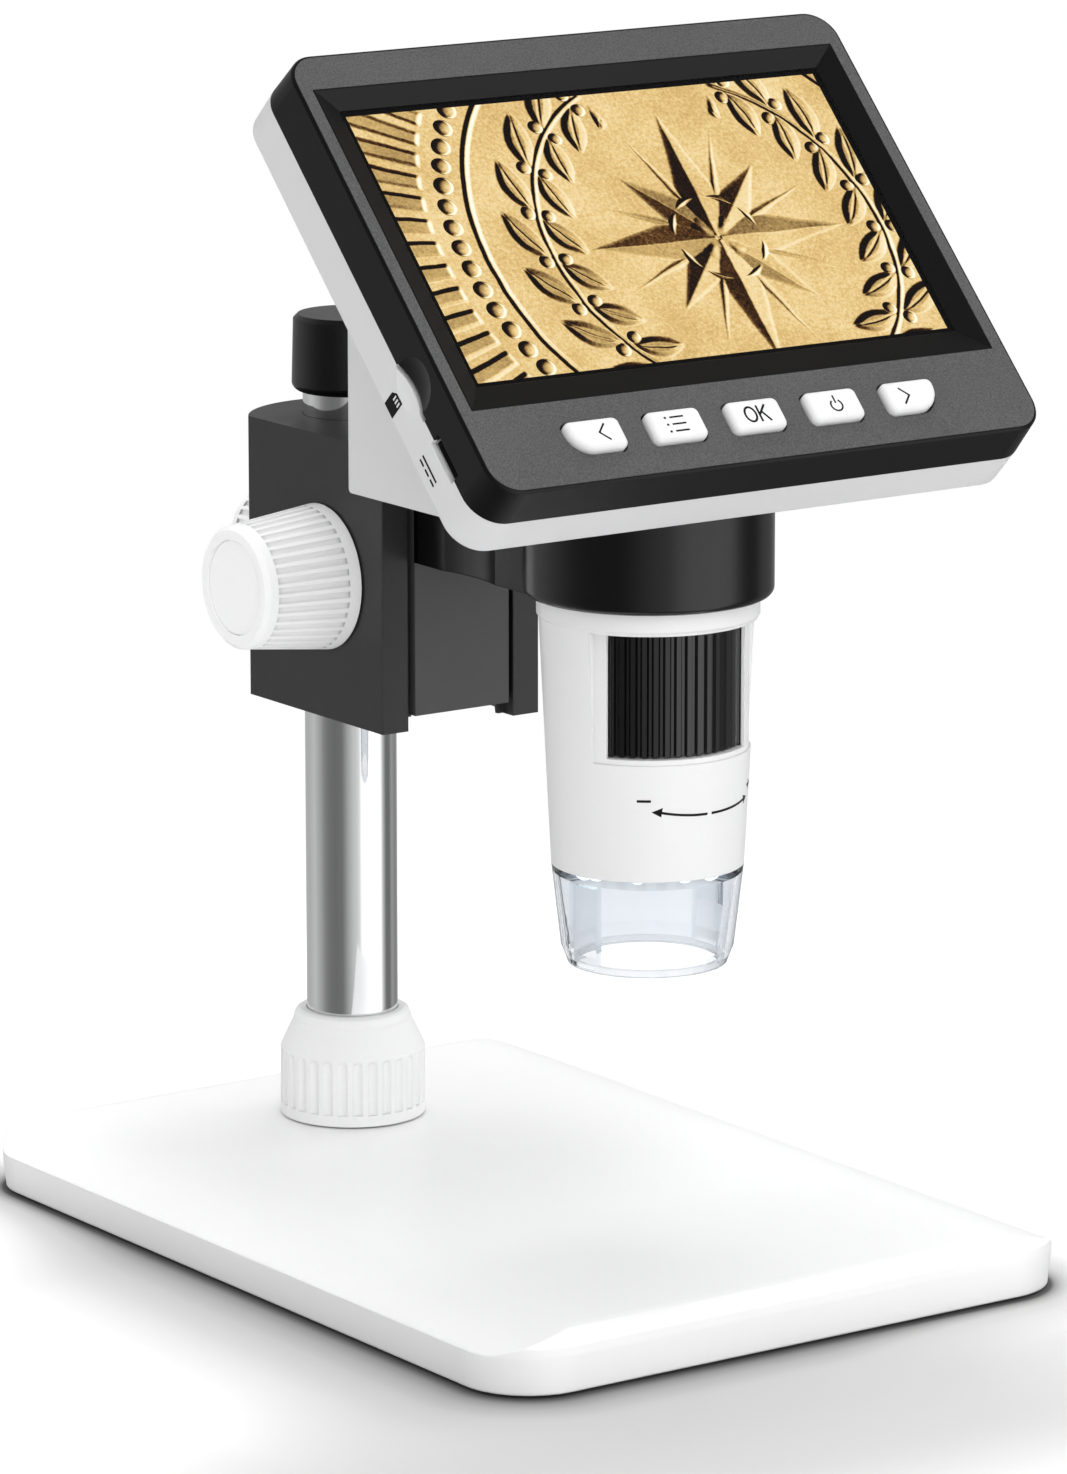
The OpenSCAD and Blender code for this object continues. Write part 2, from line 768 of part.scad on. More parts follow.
module clamp_screw() {
    start = pad_y + pad_t + seat_fit;
    color("silver") translate([0, start, pinion_z]) rotate([-90, 0, 0])
        cylinder(r = clamp_screw_d / 2, h = clamp_y + clamp_knob_l - knob_recess - part_gap - start);
}

// A hollow tapered knob on +Z with n grip grooves that stop short of both ends
module ribbed_knob(l, d0, d1, cap_d, n, bore_r) {
    r0 = d0 / 2;
    r1 = d1 / 2;
    lean = atan((r0 - r1) / (l - knob_edge));
    cap_r = cap_d / 2 + seat_fit;
    cavity = l - knob_recess - knob_web;
    difference() {
        rotate_extrude() polygon([
            [bore_r, 0], [knob_hub_r, 0], [knob_hub_r, cavity],
            [r0 - knob_wall - cavity * tan(lean), cavity], [r0 - knob_wall, 0], [r0, 0],
            [r1, l - knob_edge], [r1 - knob_edge, l], [cap_r, l],
            [cap_r, l - knob_recess], [bore_r, l - knob_recess]
        ]);
        for (i = [0 : n - 1]) rotate([0, 0, (i + 0.5) * 360 / n])
            translate([r0 + 0.2, 0, 0]) rotate([0, -lean, 0]) translate([0, 0, groove_margin])
                cylinder(r = groove_d / 2, h = l - 2 * groove_margin, $fn = 24);
    }
}

module side_knob() {
    ribbed_knob(knob_l, knob_d, knob_end_d, knob_cap_d, knob_grooves, shaft_d / 2 + seat_fit);
}

module knob_cap(l, d) {
    translate([0, 0, l - knob_recess + seat_fit]) cylinder(r = d / 2, h = knob_cap_t);
}

module on_clamp_axis() {
    translate([0, clamp_y, pinion_z]) rotate([-90, 0, 0]) children();
}

module clamp_knob() {
    bore_r = clamp_screw_d / 2 + seat_fit;
    color("white") on_clamp_axis()
        ribbed_knob(clamp_knob_l, clamp_knob_d, clamp_knob_end_d, clamp_cap_d, clamp_grooves, bore_r);
}

module clamp_knob_cap() {
    color("whitesmoke") on_clamp_axis() knob_cap(clamp_knob_l, clamp_cap_d);
}

// Pinion --------------------------------------------------------------------------------------

module on_pinion_axis(side) {
    translate([side * knob_x, pinion_y, pinion_z]) rotate([0, side * 90, 0]) children();
}

module pinion_shaft() {
    half = knob_x + knob_l - knob_recess - part_gap;
    color("silver") translate([-half, pinion_y, pinion_z]) rotate([0, 90, 0])
        cylinder(r = shaft_d / 2, h = 2 * half);
}

function involute(a) = tan(a) * 180 / PI - a;

// Half the angle that a pinion tooth fills at radius r
function tooth_half(r) = 90 / pinion_teeth - backlash / pitch_r * 90 / PI
    + involute(pressure) - involute(acos(min(1, base_r / r)));

module pinion_outline() {
    radii = [root_r, base_r, (2 * base_r + tip_r) / 3, (base_r + 2 * tip_r) / 3, tip_r];
    polygon([for (i = [0 : pinion_teeth - 1], s = [-1, 1], k = [0 : 4])
        let (r = radii[s < 0 ? k : 4 - k], a = i * 360 / pinion_teeth + s * tooth_half(max(r, base_r)))
        [r * cos(a), r * sin(a)]]);
}

module pinion_gear() {
    color("goldenrod") translate([-pinion_w / 2, pinion_y, pinion_z]) rotate([0, 90, 0])
        rotate([0, 0, -90]) difference() {
            linear_extrude(pinion_w) pinion_outline();
            translate([0, 0, -over]) cylinder(r = shaft_d / 2 + seat_fit, h = pinion_w + 2 * over);
        }
}

module left_knob() {
    color("white") on_pinion_axis(-1) side_knob();
}

module right_knob() {
    color("white") on_pinion_axis(1) side_knob();
}

module knob_caps() {
    color("whitesmoke") for (side = [-1, 1]) on_pinion_axis(side) knob_cap(knob_l, knob_cap_d);
}

// Slider, rack and ring -------------------------------------------------------------------------

module on_arm_screws() {
    for (x = [-1, 1], z = [0.25, 0.8])
        translate([x * arm_screw_x, slider_back, arm_low + z * (ring_top - arm_low)])
            rotate([90, 0, 0]) children();
}

module slider_plate() {
    color([0.3, 0.3, 0.3]) difference() {
        translate([0, 0, slider_z]) linear_extrude(slider_h) slider_plan(0);
        on_arm_screws() {
            translate([0, 0, -over]) cylinder(r = 2.6, h = 2.4 + over);
            cylinder(r = 1.5 + seat_fit, h = slider_t + over);
        }
    }
}

module gear_rack() {
    tip = tooth_pitch / 4 - backlash / 2 - (rack_tip_y - rack_pitch_y) * flank;
    foot = tooth_pitch / 4 - backlash / 2 + (rack_pitch_y - rack_root_y) * flank;
    teeth = [for (k = [tooth_first : tooth_last]) pinion_z + (k + 0.5) * tooth_pitch];
    color("silver") translate([-rack_w / 2, 0, 0]) rotate([90, 0, 90]) linear_extrude(rack_w)
        polygon(concat(
            [[slider_back, rack_high], [slider_back, rack_low], [rack_root_y, rack_low]],
            [for (z = teeth, k = [0 : 3])
                [k == 1 || k == 2 ? rack_tip_y : rack_root_y, z + [-foot, -tip, tip, foot][k]]],
            [[rack_root_y, rack_high]]
        ));
}

module holder_ring() {
    color([0.08, 0.08, 0.08]) difference() {
        union() {
            at_barrel(ring_z) rotate_extrude() difference() {
                square([ring_r, ring_h]);
                translate([ring_r - ring_edge, 0]) difference() {
                    translate([0, -over]) square([ring_edge + over, ring_edge + over]);
                    translate([0, ring_edge]) circle(ring_edge);
                }
            }
            difference() {
                translate([-arm_w / 2, barrel_y + ring_bore_r, arm_low])
                    cube([arm_w, slider_front - barrel_y - ring_bore_r, ring_top - arm_low]);
                for (m = [-1, 1]) translate([m * (arm_waist / 2 + waist_r), waist_mid, arm_low - over])
                    cylinder(r = waist_r, h = ring_top - arm_low + 2 * over);
                translate([0, barrel_y, arm_low - arm_arch_r + arm_arch_rise]) rotate([-90, 0, 0])
                    cylinder(r = arm_arch_r, h = barrel_reach, $fn = 128);
                at_barrel(0) difference() {
                    cylinder(r = ring_r + 2, h = ring_z);
                    translate([0, 0, -over]) cylinder(r = 1, h = 1);
                }
            }
        }
        at_barrel(ring_z - over) cylinder(r = ring_bore_r, h = ring_h + 2 * over);
        on_arm_screws() cylinder(r = 1.5 + seat_fit, h = arm_screw_l + 2.4 + over);
    }
}

module arm_screws() {
    color("dimgray") on_arm_screws() translate([0, 0, 0.4]) screw(2.5, 2, 1.5, arm_screw_l);
}

module ring_lining() {
    color([0.12, 0.12, 0.12]) at_barrel(ring_z + 0.4)
        tube(ring_bore_r, ring_bore_r - lining_t, ring_h - 0.8);
}

// Head ----------------------------------------------------------------------------------------

function seam_z() = -seam_depth;

// Height on the display's tilted plane, moved out by n, above the point at y
function plane_z(y, n) = lcd_z + (n + (y - lcd_y) * sin(tilt)) / cos(tilt);
function plane_y(z, n) = lcd_y + ((z - lcd_z) * cos(tilt) - n) / sin(tilt);

// Side outline of the wedge behind the display, drawn in Y and Z and shrunk by inset
module wedge_side(inset, n) {
    b = wedge_y - inset;
    z0 = head_z + inset;
    r = wedge_corner_r - inset / 2;
    polygon([[plane_y(z0, n), z0], [b - r, z0], [b, z0 + r], [b, plane_z(b, n)]]);
    translate([b - r, z0 + r]) circle(r);
}

module wedge(inset, n) {
    w = wedge_w - 2 * inset;
    r = wedge_corner_r - inset / 2;
    intersection() {
        translate([-w / 2, 0, 0]) rotate([90, 0, 90]) linear_extrude(w) wedge_side(inset, n);
        translate([0, wedge_y - inset - wedge_deep, head_z - over])
            linear_extrude(2 * lcd_rise + rim_depth) round_rect(w, 2 * wedge_deep, r);
    }
}

module back_rim() {
    r = head_corner_r;
    n0 = -rim_depth;
    polygon(concat(
        [[0, n0], [r - rim_round, n0]],
        [for (a = [15 : 15 : 75]) [r - rim_round + rim_round * sin(a), n0 + rim_round * (1 - cos(a))]],
        [[r, n0 + rim_round], [r, seam_z()], [0, seam_z()]]
    ));
}

module on_screw_posts() {
    for (x = [-1, 1], v = [screw_post_low, screw_post_top]) translate([x * screw_post_u, v, 0]) children();
}

// Opening in the left wall, w long and h high, whose lower edge is at v along the face and n deep
module port_opening(v, n, w, h) {
    translate([-head_w / 2 - over, v - w / 2, n]) cube([shell_wall + 2 * over, w, h]);
}

// The two ports' openings and the finger scoop beside the card slot
module side_ports() {
    port_opening(usb_v, pcb_front - port_open, usb_w + 2 * port_open, usb_h + 2 * port_open);
    port_opening(card_v, pcb_front + card_metal, card_w - 2 * card_metal, card_h - 2 * card_metal);
    translate([-head_w / 2 - scoop_r + scoop_depth, scoop_v, scoop_n]) sphere(r = scoop_r, $fn = 96);
}

module back_shell() {
    inner_w = head_w - 2 * shell_wall;
    inner_l = head_l - 2 * shell_wall;
    inner_r = head_corner_r - shell_wall;
    floor_n = -rim_depth + shell_wall;
    color("white") difference() {
        union() {
            difference() {
                union() {
                    in_head() translate([0, -head_shift, 0])
                        moulded_slab(head_w, head_l, head_corner_r, -rim_depth, seam_z()) back_rim();
                    wedge(0, -rim_depth + 1);
                }
                in_head() translate([0, -head_shift, floor_n]) linear_extrude(rim_depth)
                    round_rect(inner_w, inner_l, inner_r);
                wedge(shell_wall, floor_n + 1);
            }
            in_head() on_screw_posts() translate([0, 0, -rim_depth + 0.5])
                cylinder(r = screw_post_r, h = rim_depth - seam_depth - 0.5);
            in_head() for (x = [-1, 1], v = [pillar_high, pillar_low])
                translate([x * pillar_u, v, floor_n - 0.5])
                    cylinder(r = pillar_r, h = pcb_front - board_t - floor_n + 0.5);
        }
        in_head() on_screw_posts() {
            translate([0, 0, -rim_depth - over]) cylinder(r = 2.4, h = 2.6 + over);
            translate([0, 0, -rim_depth - over]) cylinder(r = 1.2 + seat_fit, h = rim_depth);
        }
        in_head() side_ports();
        at_barrel(head_z - over) cylinder(r = neck_r + seat_fit, h = shell_wall + 2 * over);
        on_barrel_screws() translate([0, 0, -barrel_flange_t - shell_wall + 0.6])
            cylinder(r = 1 + seat_fit, h = shell_wall);
    }
}

module bezel_rim() {
    r = head_corner_r;
    polygon([[0, seam_z()], [r, seam_z()], [r - bezel_lean, face_rise - 0.4],
        [r - bezel_lean - 0.3, face_rise], [0, face_rise]]);
}

module on_keys() {
    for (i = [0 : 4]) translate([key_shift + (i - 2) * key_pitch, -key_drop, 0]) key_outline(i, key_gap);
}

// Outline of button i, grown by a gap; the two end buttons have one large outer lower corner
module key_outline(i, grow) {
    w = key_w + 2 * grow;
    h = key_h + 2 * grow;
    big = key_end + grow;
    if (i == 0 || i == 4) mirror([i == 4 ? 1 : 0, 0]) intersection() {
        round_rect(w, h, key_corner_r + grow);
        union() {
            translate([-w / 2 + big, -h / 2 + big]) circle(big);
            translate([-w / 2 + big, -h / 2]) square([w, h]);
            translate([-w / 2, -h / 2 + big]) square([w, h]);
        }
    }
    else round_rect(w, h, key_corner_r + grow);
}

// The opening of the sloping frame: prisms along both axes whose walls meet in mitres
module window_slope() {
    a = glass_w / 2;
    b = window_w / 2 - window_lip;
    c = glass_h / 2;
    low = -window_h / 2 - window_shift + window_lip;
    high = window_h / 2 - window_shift - window_lip;
    top = face_rise + over;
    intersection() {
        rotate([90, 0, 0]) linear_extrude(2 * window_h, center = true)
            polygon([[-a, 0], [a, 0], [b, face_rise], [b, top], [-b, top], [-b, face_rise]]);
        rotate([90, 0, 90]) linear_extrude(2 * window_w, center = true)
            polygon([[-c, 0], [c, 0], [high, face_rise], [high, top], [low, top], [low, face_rise]]);
    }
}

module front_bezel() {
    plate_w = head_w - 2 * (plate_edge + bezel_lean);
    plate_l = head_l - 2 * (plate_edge + bezel_lean);
    plate_r = head_corner_r - plate_edge - bezel_lean;
    color([0.1, 0.1, 0.1]) in_head() difference() {
        union() {
            difference() {
                translate([0, -head_shift, 0])
                    moulded_slab(head_w, head_l, head_corner_r, seam_z(), face_rise) bezel_rim();
                translate([0, -head_shift, front_wall_z]) linear_extrude(face_rise)
                    round_rect(plate_w, plate_l, plate_r);
                translate([0, -head_shift, seam_z() - over])
                    linear_extrude(seam_depth + front_wall_back + over) round_rect(
                        head_w - 2 * shell_wall, head_l - 2 * shell_wall, head_corner_r - shell_wall);
            }
            on_screw_posts() translate([0, 0, seam_z()])
                cylinder(r = screw_post_r, h = seam_depth + front_wall_back + 0.1);
            translate([0, -window_shift, front_wall_z - 0.1]) linear_extrude(face_plate_t + 0.1)
                square([window_w - 2 * seat_fit, window_h - 2 * seat_fit], center = true);
        }
        window_slope();
        translate([-glass_w / 2, -glass_h / 2, -glass_t]) cube([glass_w, glass_h, glass_t + 0.1]);
        translate([-lcd_w / 2 - lcd_open, -lcd_h / 2 - lcd_open, front_wall_back - over])
            cube([lcd_w + 2 * lcd_open, lcd_h + 2 * lcd_open, -front_wall_back + over + 0.1]);
        translate([0, 0, front_wall_back - over]) linear_extrude(-front_wall_back + face_rise) on_keys();
        on_screw_posts() translate([0, 0, seam_z() - over]) cylinder(r = 1.2, h = seam_depth - 1.4 + over);
        side_ports();
    }
}

module face_plate() {
    plate_w = head_w - 2 * (plate_edge + bezel_lean + seat_fit);
    plate_l = head_l - 2 * (plate_edge + bezel_lean + seat_fit);
    plate_r = head_corner_r - plate_edge - bezel_lean - seat_fit;
    color("gray") in_head() difference() {
        translate([0, -head_shift, front_wall_z]) linear_extrude(face_plate_t)
            round_rect(plate_w, plate_l, plate_r);
        translate([0, -window_shift, 0]) linear_extrude(2 * face_rise)
            square([window_w, window_h], center = true);
        linear_extrude(2 * face_rise) on_keys();
    }
}

module screen_glass() {
    color([0.05, 0.05, 0.06]) in_head()
        translate([-glass_w / 2 + seat_fit, -glass_h / 2 + seat_fit, -glass_t])
            cube([glass_w - 2 * seat_fit, glass_h - 2 * seat_fit, glass_t]);
}

module lcd_panel() {
    active = lcd_open - part_gap;
    color("darkkhaki") in_head() {
        translate([-panel_w / 2, -panel_h / 2 - panel_shift, front_wall_back - panel_t])
            cube([panel_w, panel_h, panel_t]);
        translate([-lcd_w / 2 - active, -lcd_h / 2 - active, front_wall_back - 0.1])
            cube([lcd_w + 2 * active, lcd_h + 2 * active, -front_wall_back - glass_t + 0.1]);
    }
}

module main_board() {
    color("darkgreen") in_head() translate([-pcb_w / 2, pcb_low, pcb_front - board_t])
        cube([pcb_w, pcb_high - pcb_low, board_t]);
}

module tact_switches() {
    color("silver") in_head() for (i = [0 : 4])
        translate([key_shift + (i - 2) * key_pitch, -key_drop, pcb_front]) {
            translate([-tact_w / 2, -tact_w / 2, 0]) cube([tact_w, tact_w, tact_top - pcb_front]);
            cylinder(r = tact_tip_r, h = tact_tip - pcb_front);
        }
}

module battery_cell() {
    y = wedge_y - shell_wall - part_gap - cell_r;
    z = flange_z + barrel_flange_t + 2 + cell_r;
    color("royalblue") translate([-cell_l / 2, y, z]) rotate([0, 90, 0]) {
        cylinder(r = cell_r, h = cell_l);
        translate([0, 0, cell_l - 0.1]) cylinder(r = 3, h = 1.6);
    }
}

module usb_port() {
    x = -head_w / 2 + 0.8;
    color("silver") in_head() difference() {
        translate([x, usb_v - usb_w / 2, pcb_front]) cube([usb_l, usb_w, usb_h]);
        translate([x - over, usb_v - usb_w / 2 + usb_metal, pcb_front + usb_metal])
            cube([usb_l - 1 + over, usb_w - 2 * usb_metal, usb_h - 2 * usb_metal]);
    }
}

module card_slot() {
    x = -head_w / 2 + shell_wall + part_gap;
    color("silver") in_head() difference() {
        translate([x, card_v - card_w / 2, pcb_front]) cube([card_l, card_w, card_h]);
        translate([x - over, card_v - card_w / 2 + card_metal, pcb_front + card_metal])
            cube([card_l - 1 + over, card_w - 2 * card_metal, card_h - 2 * card_metal]);
    }
}

module shell_screws() {
    color("silver") in_head() on_screw_posts() translate([0, 0, -rim_depth + 0.8])
        screw(2.2, 1.7, 1.2 - seat_fit, rim_depth - 5);
}

// Barrel --------------------------------------------------------------------------------------

module on_barrel_screws() {
    for (a = [90, 210, 330]) at_barrel(flange_z + barrel_flange_t) rotate([0, 0, a])
        translate([barrel_screw_pcr, 0, 0]) children();
}

// Outer radius of the tapering barrel at height z
function barrel_r(z) = barrel_end_d / 2 + (barrel_d - barrel_end_d) / 2 * (z - barrel_z) / barrel_l;

// A piece of a ring between two angles measured from the front, growing to the right
module sector(from, to) {
    rotate([0, 0, -90 + from]) rotate_extrude(angle = to - from) children();
}

module barrel_shell() {
    color("white") difference() {
        at_barrel(0) rotate_extrude() polygon([
            [barrel_bore_d / 2, barrel_z], [barrel_end_d / 2, barrel_z],
            [barrel_d / 2, neck_z], [neck_r, neck_z + 0.4],
            [neck_r, flange_z], [barrel_flange_r, flange_z],
            [barrel_flange_r, flange_z + barrel_flange_t], [chamber_r, flange_z + barrel_flange_t],
            [chamber_r, window_low], [barrel_bore_d / 2, window_low]
        ]);
        at_barrel(0) sector(-window_left, window_right) polygon([
            [chamber_r - 1, window_low], [ring_r, window_low], [ring_r, window_top],
            [chamber_r - 1, window_top]]);
        at_barrel(0) sector(-frame_left, frame_right) polygon([
            [frame_floor_r, frame_low], [ring_r, frame_low],
            [ring_r, window_top], [frame_floor_r, window_top]]);
        on_barrel_screws() translate([0, 0, -barrel_flange_t - over])
            cylinder(r = 1.1, h = barrel_flange_t + 2 * over);
    }
}

module barrel_screws() {
    color("silver") on_barrel_screws() translate([0, 0, 1.2]) rotate([180, 0, 0])
        screw(1.8, 1.2, 1, barrel_flange_t + shell_wall - 0.8);
}

module wheel_retainer() {
    color("dimgray") at_barrel(retainer_z)
        tube(chamber_r - run_fit, chamber_r - run_fit - retainer_wall, retainer_h);
}

module sensor_board() {
    color("darkgreen") at_barrel(sensor_z) cylinder(r = chamber_r - run_fit, h = board_t);
}

module image_sensor() {
    color("dimgray") at_barrel(sensor_z - sensor_t) translate([-sensor_w / 2, -sensor_w / 2, 0])
        cube([sensor_w, sensor_w, sensor_t]);
}

module on_rods() {
    for (i = [0 : 2]) at_barrel(0) rotate([0, 0, 30 + i * 120]) translate([rod_pcr, 0, 0]) children();
}

module guide_rods() {
    color("silver") on_rods() translate([0, 0, retainer_z + part_gap])
        cylinder(r = rod_r, h = sensor_z - retainer_z - part_gap, $fn = 24);
}

module sensor_flex() {
    z0 = sensor_z + board_t;
    n = pcb_front - board_t;
    bend = plane_z(barrel_y, n) - flex_lead;
    end_y = barrel_y - flex_reach;
    pad_y = end_y - 3 * flex_t;
    color("orange") translate([-flex_w / 2, 0, 0]) rotate([90, 0, 90]) linear_extrude(flex_w) polygon([
        [barrel_y, z0], [barrel_y + flex_t, z0], [barrel_y + flex_t, bend],
        [end_y, plane_z(end_y, n)], [pad_y, plane_z(pad_y, n)], [barrel_y, bend - flex_t]
    ]);
}

module led_board() {
    color("white") at_barrel(led_board_z) tube(barrel_bore_d / 2 - run_fit, 7.5, board_t);
}

module leds() {
    color("lightyellow") for (i = [0 : led_count - 1])
        at_barrel(led_board_z) rotate([0, 0, i * 360 / led_count]) translate([led_pcr, 0, -led_l]) {
            cylinder(r = led_r, h = led_l, $fn = 24);
            sphere(r = led_r, $fn = 24);
        }
}

module lens_hood() {
    top_r = barrel_end_d / 2;
    end_r = hood_end_d / 2;
    color("lightcyan") at_barrel(hood_z) {
        rotate_extrude() polygon([
            [hood_ring_r, 0], [end_r - hood_chamfer, 0], [end_r, hood_chamfer_h],
            [top_r, hood_l], [spigot_r, hood_l], [spigot_r, hood_l + spigot_h],
            [spigot_r - hood_wall, hood_l + spigot_h], [spigot_r - hood_wall, hood_l - 0.6],
            [top_r - hood_wall, hood_l - 1.6], [end_r - hood_wall, hood_chamfer_h],
            [end_r - hood_wall - 0.4, hood_ring_h], [hood_ring_r, hood_ring_h]
        ]);
        intersection() {
            translate([-end_r, -hood_tab_w / 2, hood_ring_h / 2]) cube([2 * end_r, hood_tab_w, hood_l - 3]);
            tube(end_r - hood_wall / 2, hood_tab_in, hood_l);
        }
    }
}

// Buttons -------------------------------------------------------------------------------------

// Rim of a button: upright sides with a rounded top edge
module key_rim(r = key_corner_r) {
    polygon(concat(
        [[0, key_low], [r, key_low]],
        [for (a = [0 : 15 : 90]) [r - key_round * (1 - cos(a)), key_top - key_round + key_round * sin(a)]],
        [[0, key_top]]
    ));
}

// A straight piece of a button's rim, l long, that starts at [x, y] and faces outwards at angle a
module key_side(x, y, a, l) {
    translate([x, y, 0]) rotate([90, 0, a]) linear_extrude(l) key_rim();
}

// An end button: its outer lower corner has the large radius
module end_key(i) {
    e = key_corner_r;
    x = key_w / 2 - e;
    y = key_h / 2 - e;
    w = key_w - key_end - e;
    h = key_h - key_end - e;
    mirror([i == 4 ? 1 : 0, 0, 0]) {
        translate([0, 0, key_low]) linear_extrude(key_top - key_low) {
            translate([-x, y - h]) square([2 * x, h]);
            translate([x - w, -y]) square([w, 2 * y]);
        }
        key_side(x, y, 0, 2 * y);
        key_side(-x, y, 90, 2 * x);
        key_side(-x, y - h, 180, h);
        key_side(x, -y, 270, w);
        for (c = [[x, y, 0], [-x, y, 90], [x, -y, 270]])
            translate([c[0], c[1], 0]) rotate([0, 0, c[2]]) rotate_extrude(angle = 90) key_rim();
        translate([x - w, y - h, 0]) rotate([0, 0, 180]) rotate_extrude(angle = 90) key_rim(key_end);
    }
}

module button(i) {
    color("white") in_head() translate([key_shift + (i - 2) * key_pitch, -key_drop, 0]) {
        if (i == 0 || i == 4) end_key(i);
        else moulded_slab(key_w, key_h, key_corner_r, key_low, key_top) key_rim();
        translate([0, 0, key_low - key_flange]) linear_extrude(key_flange)
            round_rect(key_w + 2 * key_lip, key_h + 2 * key_lip, key_corner_r + key_lip);
        translate([0, 0, stem_low]) cylinder(r = 2, h = key_low - key_flange - stem_low);
    }
}

module button_left() { button(0); }
module button_menu() { button(1); }
module button_ok() { button(2); }
module button_power() { button(3); }
module button_right() { button(4); }

// Focus wheel and lens --------------------------------------------------------------------------

module focus_wheel() {
    hub_r = carrier_r + run_fit;
    color([0.1, 0.1, 0.1]) at_barrel(0) difference() {
        union() {
            translate([0, 0, wheel_z]) difference() {
                linear_extrude(wheel_h) polygon(ribbed(wheel_r, 0.5, wheel_ribs));
                translate([0, 0, -over]) cylinder(r = wheel_r - wheel_wall, h = wheel_h + 2 * over);
            }
            translate([0, 0, wheel_z + wheel_h / 2 - 1.2]) cylinder(r = wheel_r - 1, h = 2.4);
            translate([0, 0, hub_z]) cylinder(r = hub_r + hub_wall, h = hub_h);
        }
        translate([0, 0, hub_z - over]) cylinder(r = hub_r, h = hub_h + 2 * over);
    }
}

module lens_carrier() {
    bore_r = lens_r + seat_fit;
    color("dimgray") difference() {
        at_barrel(0) {
            translate([0, 0, carrier_z]) cylinder(r = carrier_r, h = carrier_flange_z - carrier_z + 0.1);
            translate([0, 0, carrier_flange_z]) cylinder(r = rod_pcr + rod_r + 1, h = carrier_flange_t);
        }
        at_barrel(carrier_z + 1.5) cylinder(r = bore_r, h = wheel_h + retainer_h + 10);
        at_barrel(carrier_z - over) cylinder(r = bore_r - 1, h = 3);
        on_rods() translate([0, 0, carrier_flange_z - over])
            cylinder(r = rod_r + run_fit, h = carrier_flange_t + 2 * over);
    }
}

// A biconvex lens standing on z = 0
module lens(r, rim, bulge) {
    ball = (r * r + bulge * bulge) / (2 * bulge);
    rotate_extrude() intersection() {
        square([r, rim + 2 * bulge]);
        translate([0, ball]) circle(ball, $fn = 128);
        translate([0, rim + 2 * bulge - ball]) circle(ball, $fn = 128);
    }
}

module lens_elements() {
    color("lightblue") for (z = [lens_low, lens_mid, lens_high])
        at_barrel(carrier_z + z) lens(lens_r, lens_rim, lens_bulge);
}

base_cover();
base_plate();
ballast_plate();
rubber_feet();
base_screws();
post_socket();
collar_nut();
post_tube();
post_cap();
bracket_housing();
shaft_bushes();
clamp_pad();
clamp_screw();
clamp_knob();
clamp_knob_cap();
pinion_shaft();
pinion_gear();
left_knob();
right_knob();
knob_caps();
slider_plate();
gear_rack();
holder_ring();
arm_screws();
ring_lining();
back_shell();
front_bezel();
face_plate();
screen_glass();
lcd_panel();
main_board();
tact_switches();
battery_cell();
usb_port();
card_slot();
shell_screws();
barrel_shell();
barrel_screws();
wheel_retainer();
sensor_board();
image_sensor();
guide_rods();
sensor_flex();
led_board();
leds();
lens_hood();
button_left();
button_menu();
button_ok();
button_power();
button_right();
focus_wheel();
lens_carrier();
lens_elements();
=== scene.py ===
# Looks of the desktop digital microscope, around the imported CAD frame. Metres, +Z up.
import math

import bmesh
import bpy
from mathutils import Matrix, Vector


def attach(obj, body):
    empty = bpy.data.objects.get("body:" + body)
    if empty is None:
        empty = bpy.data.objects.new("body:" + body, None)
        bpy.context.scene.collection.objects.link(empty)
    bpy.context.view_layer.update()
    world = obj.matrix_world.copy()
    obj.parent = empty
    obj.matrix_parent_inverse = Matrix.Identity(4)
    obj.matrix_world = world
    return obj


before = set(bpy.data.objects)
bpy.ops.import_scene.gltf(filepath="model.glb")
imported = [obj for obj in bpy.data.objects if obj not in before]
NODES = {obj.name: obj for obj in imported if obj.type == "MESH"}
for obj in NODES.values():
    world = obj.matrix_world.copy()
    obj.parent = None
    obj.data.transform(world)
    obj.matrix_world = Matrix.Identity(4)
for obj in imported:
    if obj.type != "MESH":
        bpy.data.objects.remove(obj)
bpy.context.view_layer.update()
MM = 0.001

# The head's frame: X to the right, Y up the face, Z out of the display
TILT = math.radians(45.75)
HEAD = Matrix.Translation((0, -0.0395, 0.1819)) @ Matrix.Rotation(TILT, 4, "X")

# What the picture and the signs lie on, in millimetres, as the CAD has it
ACTIVE = (95.04, 53.86)                  # the display's picture
LAYER = (-0.62, -0.58)                   # the layer inside the cover glass that carries it
LAYER_BORDER, LAYER_CUT = 0.9, 0.1       # its black border, and its cut corners
KEY_TOP = 2.9                            # the buttons' faces
KEY_V = -40.88                           # their row, from the picture's middle
KEY_PITCH, KEY_SHIFT = 15.9, -0.9
WALL_U = 56.0                            # the head's left wall
BARREL_Y = -38.9                         # the barrel's axis
CONE_FOOT, CONE_RISE = 74.0, 42.25       # the narrow end of its taper, and the taper's length
CONE_LOW_D, CONE_HIGH_D = 32.34, 36.6    # diameters at the two ends of the taper
SIGN_Z = 87.0                            # middle of the barrel's signs
INK = 0.03                               # a sign's reach out of the face under it, and into it


# --- Shader arithmetic -----------------------------------------------------------------------

